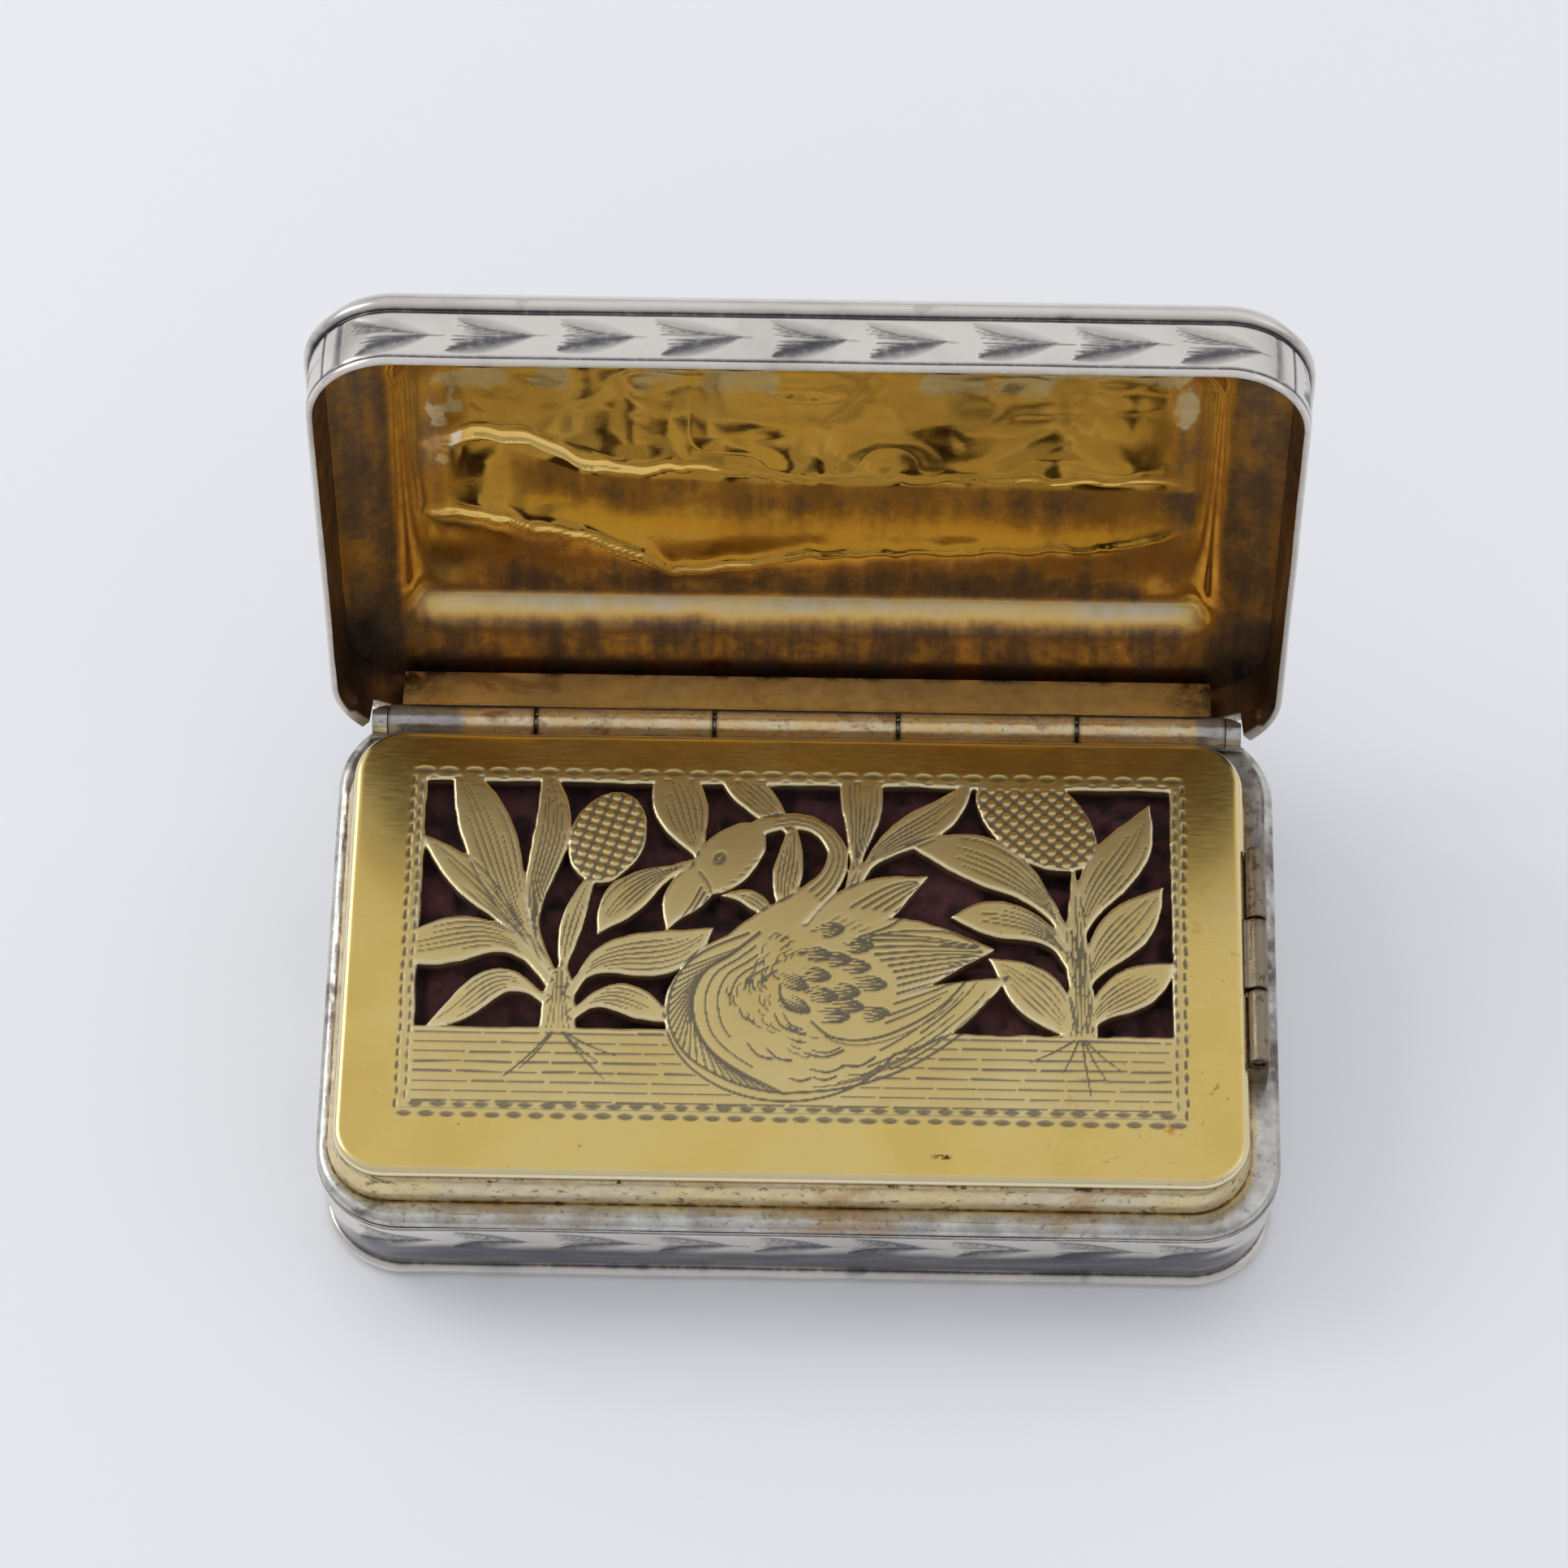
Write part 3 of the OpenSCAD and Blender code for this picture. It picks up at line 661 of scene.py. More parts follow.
def bezel():
    b, bn = rrect(*BEZEL, nl=300, ns=170, nc=32)
    n = len(b)
    rows, dark = [], []

    def row(inset, z, d):
        # the band spreads a little towards its foot
        flare = 0.28 * smooth(6.65, 5.42, z) if inset < 0.2 and z > 5.2 else 0.0
        rows.append(np.c_[b - bn * (inset - flare), np.full(n, z)])
        dark.append(np.full(n, d))

    top, r = PLATE_Z0 - 0.05, 0.09
    # dirt darkens the foot where it meets the ledge; the darkening near the top, over the rounded top and on the inside
    # is painted shadow under the plate's edge
    for z in np.r_[4.9, 5.3, 5.42, np.linspace(5.5, top - r, 12)]:
        row(0.0, z, 0.85 * smooth(5.60, 5.40, z) + 0.45 * smooth(6.5, 6.68, z))
    for k in np.radians([30, 60, 90]):
        row(r * (1 - math.cos(k)), top - r + r * math.sin(k), 0.35)
    for k in np.radians([90, 45, 0]):
        row(0.4 - r * (1 - math.cos(k)), top - r + r * math.sin(k), 0.35)
    row(0.4, 3.0, 0.4)
    row(0.02, 3.0, 0.4)
    v = np.concatenate(rows)
    nn = np.tile(bn, (len(rows), 1))
    dent = 0.02 * fbm(v, 1.8, 3, 21) * (v[:, 2] > 5.45)
    v[:, :2] += nn * dent[:, None]
    ob = make("bezel_gilt_band", v, strips(len(rows), n, True), mats=[BEZELMAT], attrs={"dark": np.concatenate(dark)})
    return place(ob, "base", "bezel_gilt", "bezel")


# ---------------------------------------------------------------- the lid

def lid_wall():
    p, nor = outline(nl=400, ns=200, nc=40)
    n = len(p)
    zs = np.linspace(0, 1, 46)

    reach = np.abs((p - nor * SHEET)[:, 0])

    def low(q):
        """Lower edge of the wall: it clears the hinge along the rear."""
        dy = q[:, 1] - HINGE_Y
        barrel = (np.abs(dy) < 0.80) & (reach < 17.57)
        cut = np.where(barrel, HINGE_Z + np.sqrt(np.clip(0.80 ** 2 - dy ** 2, 0, None)), LID_Z0)
        cut = np.maximum(cut, np.where(dy > 0, HINGE_Z + 1.257 * dy, LID_Z0))
        return np.where(dy > -0.80, np.maximum(cut, LID_Z0), LID_Z0)

    outer_low = low(p)
    inner = p - nor * SHEET
    inner_low = low(inner)
    flat = np.array([outer_low + (LID_Z1 - outer_low) * t for t in zs]).reshape(-1)
    relief, dark = engraved_wall(p, nor, flat, 6.84, 0.98, (0.30, 0.74), (5.66, 7.94), 70)
    belly = 0.06 * (1 - ((flat - 6.9) / 1.6) ** 2)
    soft = np.repeat(0.06 * (1 - smooth(0, 0.035, zs)), n)
    nn = np.tile(nor, (len(zs), 1))
    v = np.c_[np.tile(p, (len(zs), 1)), flat]
    v[:, :2] += nn * (belly + relief - soft + 0.025 * fbm(v, 4.0, 2, 6))[:, None]
    dark = np.maximum(dark, 0.8 * smooth(7.85, 8.05, flat))
    ins = np.r_[np.linspace(1, 0.25, 12), 0.18, 0.12, 0.08, 0.05, 0.02, 0.0]
    inner_rows = np.array([inner_low + (LID_Z1 - inner_low) * t for t in ins]).reshape(-1)
    vi = np.c_[np.tile(inner, (len(ins), 1)), inner_rows]
    ni = np.tile(nor, (len(ins), 1))
    # the sheet thins towards its edge, except along the hinge
    thin = np.tile(0.22 * (nor[:, 1] < 0.5), len(ins)) * np.repeat(smooth(0.30, 0.0, ins), n)
    vi[:, :2] += ni * (0.03 * fbm(vi, 3.0, 3, 8) - 0.01 + thin)[:, None]
    tarnish_and_sheen = 0.62 + 0.15 * fbm(np.c_[vi[:, 0] * 2.0, vi[:, 1] * 2.0, vi[:, 2] * 0.5], 1.6, 3, 31) + 0.14 * smooth(15.0, 18.3, np.abs(vi[:, 0]))
    tarnish_and_sheen = np.concatenate([np.zeros(len(v)), tarnish_and_sheen])
    bare = np.concatenate([np.zeros(len(v)), np.repeat(0.9 * smooth(0.07, 0.0, ins), n)])
    vv = lid_pose(np.concatenate([v, vi]))
    rowcount = len(zs) + len(ins)
    rowof = np.repeat(np.arange(rowcount), n)
    fmat = ((rowof >= len(zs)) & (rowof < rowcount - 1)).astype(int)
    ob = make("lid_wall_engraved", vv, strips(rowcount, n, True), mats=[SILVER, LIDGILT], fmat=fmat,
              attrs={"dark": np.concatenate([dark, np.full(len(vi), 0.3)]), "tarnish_and_sheen": tarnish_and_sheen, "bare": bare})
    return place(ob, "lid", "silver", "lid_wall")


def shoulder_in(t):
    return np.where(t < 0.5, 1.9 * (1 - np.cos(np.pi * t)), 1.9 + (SHOULDER - 1.9) * (2 * t - 1))


def shoulder_up(t):
    return np.where(t < 0.5, 0.78 * LID_RISE * np.sin(np.pi * t), LID_RISE * (0.78 + 0.22 * np.sin(np.pi / 2 * (2 * t - 1))))


def crease(x):
    """Distance of the lower crease from the hinge side."""
    return np.interp(x, (-15, -10, -5.5, 0, 6, 12, 15), (9.4, 8.4, 6.1, 6.7, 7.2, 7.6, 8.8))


def upper_crease(x):
    return np.interp(x, (-15, -13, -11, -9, -7, 0, 15), (13.0, 13.9, 13.2, 12.2, 11.9, 11.6, 11.4))


def panel_inside(x, y):
    """Waves and creases of the thin top seen from inside, for the lid shut."""
    p = np.c_[x, y, np.zeros(len(x))]
    flat = np.c_[x, x * 0, x * 0]
    v = HW - y                                   # distance from the hinge side
    wob = 0.25 * lattice(flat, 2.6, 52) + 0.15 * lattice(flat, 1.1, 54) + 0.07 * lattice(flat, 0.5, 59)
    a = v - (crease(x) + wob)
    b = v - (upper_crease(x) - wob)
    z = (0.18 * np.where(a > 0, np.exp(-a / 0.30), np.exp(a / 0.5))) * (0.35 + 0.65 * smooth(5, -6, x))
    # the strip between the creases rises towards the upper one and drops off behind it
    strip = np.clip(a, 0, None) / np.maximum(np.clip(a, 0, None) + np.clip(-b, 0, None), 1e-6)
    z += (0.07 + 0.10 * smooth(-3, -9, x)) * np.where(b > 0, np.exp(-b / 0.25), strip ** 1.3)
    far = smooth(10.5, 13.0, v)
    z += 0.05 * fbm(p, 5.5, 1, 55) + (0.015 + 0.05 * far) * np.abs(lattice(p, 3.1, 57)) + 0.012 * far * np.abs(lattice(p, 1.7, 58)) + 0.004 * fbm(p, 1.4, 2, 56)
    return -z


def lid_top():
    kw = dict(nl=190, ns=104, nc=14)
    ts = np.linspace(0, 1, 34)
    ins = np.linspace(SHOULDER, 11.2, 44)[1:]
    # the inside goes from the wall over a gentle ledge and a cove up to the panel
    cove = curve((0.45, 0.45, 8.40), (0.75, 1.0, 8.55), (1.25, 1.7, 8.69), (1.8, 2.4, 8.81), (2.25, 3.05, 8.93), (2.6, 3.45, 9.07), (2.9, 3.78, 9.27),
                 (3.15, 4.08, 9.50), (3.45, 4.40, 9.66), (3.8, 4.80, 9.735), (4.2, 5.3, 9.75), n=len(ts))
    rows_o, rows_i = [], []
    for t, (ci, cy, cz) in zip(ts, cove):
        i = float(shoulder_in(t))
        r = CORNER - (CORNER - 1.3) * t
        q, _ = rrect(-HX + i, HX - i, -HW + i, HW - i, r, **kw)
        rows_o.append(np.c_[q, np.full(len(q), LID_Z1 + float(shoulder_up(t)))])
        q, _ = rrect(-HX + ci, HX - ci, -HW + cy, HW - cy, 2.95 + (0.85 - 2.95) * (ci - 0.45) / 3.75, **kw)
        rows_i.append(np.c_[q, np.full(len(q), cz)])
    n = len(rows_o[0])
    for i in ins:
        f = (i - SHOULDER) / (11.2 - SHOULDER)
        q, _ = rrect(-HX + i, HX - i, -HW + i, HW - i, 1.3 + (0.09 - 1.3) * f, **kw)
        rows_o.append(np.c_[q, np.full(n, LID_Z1 + LID_RISE)])
        q, _ = rrect(-HX + i, HX - i, -HW + 5.3 + 5.9 * f, HW - 5.3 - 5.9 * f, 0.85 + (0.09 - 0.85) * f, **kw)
        rows_i.append(np.c_[q, np.full(n, LID_Z1 + LID_RISE - SHEET)])
    vo, vi = np.concatenate(rows_o), np.concatenate(rows_i)
    m = len(rows_o)
    t_row = np.r_[ts, np.full(len(ins), 1.0)]
    tt = np.repeat(t_row, n)

    # outside: engine-turned waves on the panel, around a plain field, with a cut line along its edge
    x, y = vo[:, 0], vo[:, 1]
    inset = np.minimum(HX - np.abs(x), HW - np.abs(y))
    panel = smooth(SHOULDER + 0.35, SHOULDER + 0.75, inset)
    oval = (np.abs(x) / 4.6) ** 2.6 + (np.abs(y) / 2.9) ** 2.6
    field = smooth(0.96, 1.12, oval)
    wave = np.sin(2 * np.pi * (y + 0.28 * np.sin(2 * np.pi * x / 2.6)) / 0.92)
    relief = 0.035 * wave * panel * field
    relief -= 0.05 * np.clip(1 - (np.abs(oval - 1.04) / 0.14) ** 2, 0, 1)
    relief -= 0.05 * np.clip(1 - (np.abs(inset - SHOULDER - 0.2) / 0.16) ** 2, 0, 1)
    dark = 0.4 * np.clip(-wave, 0, 1) * panel * field
    dark = np.maximum(dark, 0.7 * np.clip(1 - (np.abs(oval - 1.04) / 0.13) ** 2, 0, 1))
    dark = np.maximum(dark, 0.7 * np.clip(1 - (np.abs(inset - SHOULDER - 0.2) / 0.14) ** 2, 0, 1))
    vo[:, 2] += relief + 0.03 * fbm(vo, 5.0, 2, 61) * smooth(0.1, 0.5, tt)
    dark = np.maximum(dark, 0.75 * smooth(0.10, 0.0, tt))

    # inside: creased thin sheet, bright on the panel, brown along the sides and by the hinge, with painted highlights
    # along the coves
    x, y = vi[:, 0], vi[:, 1]
    rear, front, side = HW - y, HW + y, HX - np.abs(x)
    # depth from the wall towards the panel, the same on all four sides although the cove lies farther in at front and rear
    deep = lambda q: np.interp(q, (0, 0.45, 1.7, 3.05, 3.78, 4.4, 5.3, 30), (0, 0.45, 1.25, 2.25, 2.9, 3.45, 4.2, 28.9))
    rear, front = deep(rear), deep(front)
    inset = np.minimum(np.minimum(rear, front), side)
    panel = smooth(3.4, 4.0, inset)
    vi[:, 2] += panel_inside(x, y) * smooth(3.3, 5.0, inset) + 0.02 * fbm(vi, 2.6, 2, 62) * smooth(0.5, 1.0, inset)
    tarnish_and_sheen = 0.62 * (1 - panel) + 0.09 * panel
    below = crease(x) - (HW - y)
    under = upper_crease(x) - (HW - y)
    tarnish_and_sheen += 0.36 * smooth(0.1, 0.5, under) * smooth(3.6, 1.2, under) * (below < 0) * panel * smooth(-13.0, -10.0, x)
    tarnish_and_sheen += (0.31 * smooth(-0.2, 0.7, below) + 0.22 * smooth(5.6, 3.9, rear) + 0.07 * smooth(-4.5, -3.0, below)) * panel * smooth(14.5, 12.5, np.abs(x))
    tarnish_and_sheen += 0.36 * smooth(6.4, 4.2, side) * panel
    tarnish_and_sheen += 0.25 * smooth(3.2, 1.2, side) * smooth(4.0, 2.0, rear)
    tarnish_and_sheen += 0.10 * fbm(vi, 3.4, 3, 63)
    on_rear = (rear <= side) & (rear <= front)
    uneven = 0.14 * fbm(np.c_[x, x * 0, x * 0], 2.2, 3, 66)
    # the rear cove is bright gold, its tarnish taken off along the band: painted highlight
    rear_cove_highlight = smooth(2.45, 3.1, inset + uneven) * smooth(3.7, 3.25, inset) * smooth(16.0, 15.0, np.abs(x)) * on_rear
    tarnish_and_sheen = tarnish_and_sheen * (1 - 0.85 * rear_cove_highlight)
    # pale silvery streaks on the same band: painted highlight
    rear_cove_sheen = 0.9 * smooth(2.75, 3.2, inset + uneven) * smooth(3.65, 3.3, inset) * smooth(16.0, 14.4, np.abs(x)) * on_rear
    rear_cove_sheen *= np.clip(0.8 + 0.6 * fbm(np.c_[x, y * 3, y * 0], 2.4, 3, 67), 0, 1)
    # the coves along the two ends are a little brighter: painted highlight
    strip = smooth(2.5, 2.8, inset) * smooth(3.9, 3.4, inset) * (side <= rear) * (side <= front)
    tarnish_and_sheen = tarnish_and_sheen * (1 - 0.45 * strip)
    bare = 0.8 * smooth(1.0, 0.2, np.hypot((x - 14.6) / 1.0, (y + 4.6) / 2.2))
    bare = np.maximum(bare, 0.7 * smooth(1.0, 0.2, np.hypot((x + 14.4) / 0.6, (y + 1.2) / 0.8)))
    bare = np.maximum(bare, 0.85 * smooth(1.0, 0.4, np.hypot((x + 14.2) / 1.1, (y + 3.6) / 3.0)) * smooth(-0.35, 0.15, fbm(vi, 0.8, 3, 68)))
    bare = np.maximum(bare, 0.75 * smooth(6.0, 4.4, front) * panel * smooth(-0.05, 0.25, fbm(vi, 2.8, 2, 64)))

    v = np.concatenate([vo, vi])
    qo = strips(m, n)
    qi = strips(m, n, first=m * n)[:, ::-1]
    j = np.arange(n)
    lip = np.stack([m * n + j, m * n + (j + 1) % n, (j + 1) % n, j], -1)
    # the last ring is a narrow slit, closed by quads from its far side to its near side
    far = np.arange(2 * (kw["nc"] + 1) + kw["nl"] - 2)
    near = n - kw["ns"] - far
    slit = np.stack([far, far + 1, near - 1, near], -1)
    to, ti = (m - 1) * n + slit, ((2 * m - 1) * n + slit)[:, ::-1]
    fmat = np.r_[np.zeros(len(qo)), np.ones(len(qi)), np.ones(len(lip)), np.zeros(len(to)), np.ones(len(ti))].astype(int)
    zero = np.zeros(m * n)
    attrs = {"dark": np.r_[dark, zero], "tarnish_and_sheen": np.r_[zero, np.clip(tarnish_and_sheen, 0, 1)], "bare": np.r_[zero, bare], "rear_cove_sheen": np.r_[zero, rear_cove_sheen]}
    ob = make("lid_top_sheet", lid_pose(v), np.concatenate([qo, qi, lip, to, ti]), None, [SILVER, LIDGILT], fmat, attrs, sharp=55)
    return place(ob, "lid", "lid_gilt", "lid_top")


def lid_bearer():
    x0, x1 = -16.3, 16.3
    y0, y1, z0, z1 = HINGE_Y - BARREL, HW - SHEET - 0.03, HINGE_Z + 0.32, HINGE_Z + 2.1
    r = 0.10
    prof = []
    # front face, top edge, back face, and the hollow that clears the barrel
    for a in np.radians(np.linspace(180, 90, 5)):
        prof.append((y0 + r + r * math.cos(a), z1 - r + r * math.sin(a)))
    prof.append((y1, z1))
    ya = y1 - HINGE_Y
    prof.append((y1, HINGE_Z + math.sqrt(0.79 ** 2 - ya ** 2) + 0.02))
    a1 = math.atan2(math.sqrt(0.79 ** 2 - ya ** 2), ya)
    a2 = math.pi - math.asin(0.32 / 0.79)
    for a in np.linspace(a1, a2, 9)[1:]:
        prof.append((HINGE_Y + 0.79 * math.cos(a), HINGE_Z + 0.79 * math.sin(a)))
    prof = [(max(y, y0 + 0.0), z) for y, z in prof]
    prof += [(y0, z) for z in np.linspace(prof[-1][1] + 0.06, z1 - r - 0.05, 10)]
    prof = np.array(prof)[::-1]
    n = len(prof)
    xs = np.linspace(x0, x1, 320)
    v = np.concatenate([np.c_[np.full(n, x), prof] for x in xs])
    lim = np.where(np.abs(v[:, 0]) > 15.6, 7.9 + np.sqrt(np.clip(2.93 ** 2 - (np.abs(v[:, 0]) - 15.6) ** 2, 0, None)), 99)
    v[:, 1] = np.minimum(v[:, 1], lim)
    front = np.abs(v[:, 1] - y0) < 0.02
    v[:, 1] += np.where(front, 0.022 * fbm(v * np.array([0.5, 1, 1.5]), 1.6, 3, 71) + 0.015, 0)
    k, j = np.arange(len(xs) - 1)[:, None] * n, np.arange(n)[None, :]
    q = np.stack([k + j, k + (j + 1) % n, k + n + (j + 1) % n, k + n + j], -1).reshape(-1, 4)[:, ::-1]
    caps = []
    c0, c1 = len(v), len(v) + 1
    v = np.concatenate([v, [[x0, y0 + 0.45, z1 - 0.5], [x1, y0 + 0.45, z1 - 0.5]]])
    for a in range(n):
        b = (a + 1) % n
        caps.append((a, b, c0))
        caps.append(((len(xs) - 1) * n + b, (len(xs) - 1) * n + a, c1))
    top = smooth(z1 - 0.35, z1 - 0.02, v[:, 2])
    lowe = smooth(z0 + 0.28, z0 + 0.02, v[:, 2])
    ends = smooth(13.5, 16.2, np.abs(v[:, 0]))
    # darker towards the top edge, into the corner with the lid's wall: painted shade; a little lighter along the lower
    # edge: painted highlight; dark patches along the top edge and at the ends
    dark = 0.75 * top * smooth(-0.25, 0.35, fbm(v, 1.3, 3, 72)) + 0.85 * ends * smooth(-0.6, 0.3, fbm(v, 1.6, 3, 73)) + 0.22 * smooth(z0 + 0.7, z1, v[:, 2]) - 0.2 * lowe
    ob = make("lid_hinge_strip", lid_pose(v), q, caps, [STRIP], None, {"dark": np.clip(dark, 0, 1)}, sharp=40)
    return place(ob, "lid", "lid_gilt", "lid_hinge_bearer")


# -------------------------------------------------------------- the hinge

def knuckle(x0, x1, seed):
    """One hinge tube around the axis, with softened ends and small dents."""
    f = 0.07
    prof = [(x0, 0.35), (x0, BARREL - f)]
    prof += [(x0 + f * (1 - math.cos(a)), BARREL - f + f * math.sin(a)) for a in np.radians([30, 60, 90])]
    prof += [(x, BARREL) for x in np.linspace(x0 + f, x1 - f, max(8, int((x1 - x0) / 0.11)))[1:-1]]
    prof += [(x1 - f * (1 - math.cos(a)), BARREL - f + f * math.sin(a)) for a in np.radians([90, 60, 30])]
    prof += [(x1, BARREL - f), (x1, 0.35)]
    prof = np.array(prof)
    k = 52
    a = np.linspace(0, 2 * np.pi, k, endpoint=False)
    rows = []
    for x, r in prof:
        rows.append(np.c_[np.full(k, x), HINGE_Y + r * np.cos(a), HINGE_Z + r * np.sin(a)])
    v = np.concatenate(rows)
    rad = np.repeat(prof[:, 1], k)
    d = v[:, 1:] - np.array([HINGE_Y, HINGE_Z])
    dent = np.where(rad > BARREL - 0.05, -0.035 * np.clip(fbm(v, 0.9, 3, seed), 0, 1) - 0.006, 0)
    v[:, 1:] += d / rad[:, None] * dent[:, None]
    lim = np.where(np.abs(v[:, 0]) > 15.6, 7.9 + np.sqrt(np.clip(3.38 ** 2 - (np.abs(v[:, 0]) - 15.6) ** 2, 0, None)), 99)
    v[:, 1] = np.minimum(v[:, 1], lim)
    end = np.minimum(np.abs(v[:, 0] - x0), np.abs(v[:, 0] - x1))
    dark = 0.85 * smooth(0.12, 0.02, end)
    return v, strips(len(prof), k, True)[:, ::-1], dark


def knuckles(name, spans, body, node, seed):
    vs, qs, ds, at = [], [], [], 0
    for i, (x0, x1) in enumerate(spans):
        v, q, d = knuckle(x0, x1, seed + i)
        vs.append(v)
        qs.append(q + at)
        ds.append(d)
        at += len(v)
    v = np.concatenate(vs)
    grey = smooth(-13.0, -14.6, v[:, 0]) + smooth(15.2, 16.2, v[:, 0]) + 0.35 * smooth(0.2, 0.6, fbm(v * np.array([0.5, 1, 1]), 1.6, 2, 90))
    grey = np.maximum(grey, 0.95 * smooth(0.15, 0.45, v[:, 1] - HINGE_Y))
    # on the base tubes the lower front, where they sit down in the ledge's groove, is darker: painted shade
    dark = np.maximum(np.concatenate(ds), 0.8 * smooth(HINGE_Z + 0.1, HINGE_Z - 0.2, v[:, 2]) * (v[:, 1] < HINGE_Y))
    if body == "lid":
        dark = np.concatenate(ds)
        v = lid_pose(v)
    ob = make(name, v, np.concatenate(qs), mats=[WORN], attrs={"grey": grey, "dark": dark}, sharp=50)
    return place(ob, body, "worn_gilt", node)


GX, GZ, SMALL = 17.9, 7.0, 0.42


def small_tube(y0, y1, seed):
    """One tube of the grille hinge, with softened ends and small dents."""
    f = 0.06
    prof = [(y0, 0.235), (y0, SMALL - f)]
    prof += [(y0 + f * (1 - math.cos(a)), SMALL - f + f * math.sin(a)) for a in np.radians([30, 60, 90])]
    prof += [(y, SMALL) for y in np.linspace(y0 + f, y1 - f, max(8, int((y1 - y0) / 0.1)))[1:-1]]
    prof += [(y1 - f * (1 - math.cos(a)), SMALL - f + f * math.sin(a)) for a in np.radians([90, 60, 30])]
    prof += [(y1, SMALL - f), (y1, 0.235)]
    prof = np.array(prof)
    k = 44
    a = np.linspace(0, 2 * np.pi, k, endpoint=False)
    v = np.concatenate([np.c_[GX + r * np.cos(a), np.full(k, y), GZ + r * np.sin(a)] for y, r in prof])
    dent = np.where(np.repeat(prof[:, 1], k) > SMALL - 0.04, -0.03 * np.clip(fbm(v, 0.7, 3, seed), 0, 1) - 0.004, 0)
    turn = np.tile(a, len(prof))
    v[:, 0] += dent * np.cos(turn)
    v[:, 2] += dent * np.sin(turn)
    end = np.minimum(np.abs(v[:, 1] - y0), np.abs(v[:, 1] - y1))
    # the lower part of each tube is darker: painted shade under it
    dark = np.maximum(0.85 * smooth(0.12, 0.02, end), 0.6 * smooth(GZ - 0.1, GZ - 0.35, v[:, 2]))
    return v, strips(len(prof), k, True)[:, ::-1], dark


def grille_hinge():
    """Two tubes on the base, and between them one that is rolled out of the plate's edge."""
    v1, q1, d1 = small_tube(-4.7, -1.604, 400)
    v2, q2, d2 = small_tube(1.604, 4.7, 401)
    ob = make("grille_hinge_outer_tubes", np.concatenate([v1, v2]), np.concatenate([q1, q2 + len(v1)]), mats=[SEAT],
              attrs={"dark": np.r_[d1, d2]}, sharp=50)
    place(ob, "base", "bezel_gilt", "grille_outer_knuckles")
    v, q, d = small_tube(-1.504, 1.504, 402)
    top = curve((17.38, 7.275), (17.47, 7.262), (17.56, 7.28), (17.66, 7.33), (17.80, 7.40), n=12)
    low = curve((17.72, 6.70), (17.60, 6.77), (17.48, 6.815), (17.38, 6.82), n=8)
    ring = np.concatenate([np.asarray(top), np.asarray(low)])
    k, ys = len(ring), np.linspace(-1.5, 1.5, 31)
    leaf = np.concatenate([np.c_[ring[:, 0], np.full(k, y), ring[:, 1]] for y in ys])
    leaf[:, 2] += 0.012 * fbm(leaf, 0.9, 2, 403)
    mids = np.array([[17.6, -1.5, 7.03], [17.6, 1.5, 7.03]])
    at, j = len(v), np.arange(k)
    last = at + (len(ys) - 1) * k
    c = at + len(leaf)
    tris = np.concatenate([np.stack([at + (j + 1) % k, at + j, np.full(k, c)], -1), np.stack([last + j, last + (j + 1) % k, np.full(k, c + 1)], -1)])
    dark = 0.7 * smooth(1.40, 1.49, np.abs(leaf[:, 1])) + 0.25 * smooth(17.55, 17.45, leaf[:, 0])
    ob = make("grille_hinge_centre_tube", np.concatenate([v, leaf, mids]), np.concatenate([q, strips(len(ys), k, first=at)]), tris, [SEAT],
              attrs={"dark": np.r_[d, np.clip(dark, 0, 1), 0.8, 0.8]}, sharp=50)
    place(ob, "grille", "grille_gilt", "grille_knuckle")


# ------------------------------------------------------------- the grille

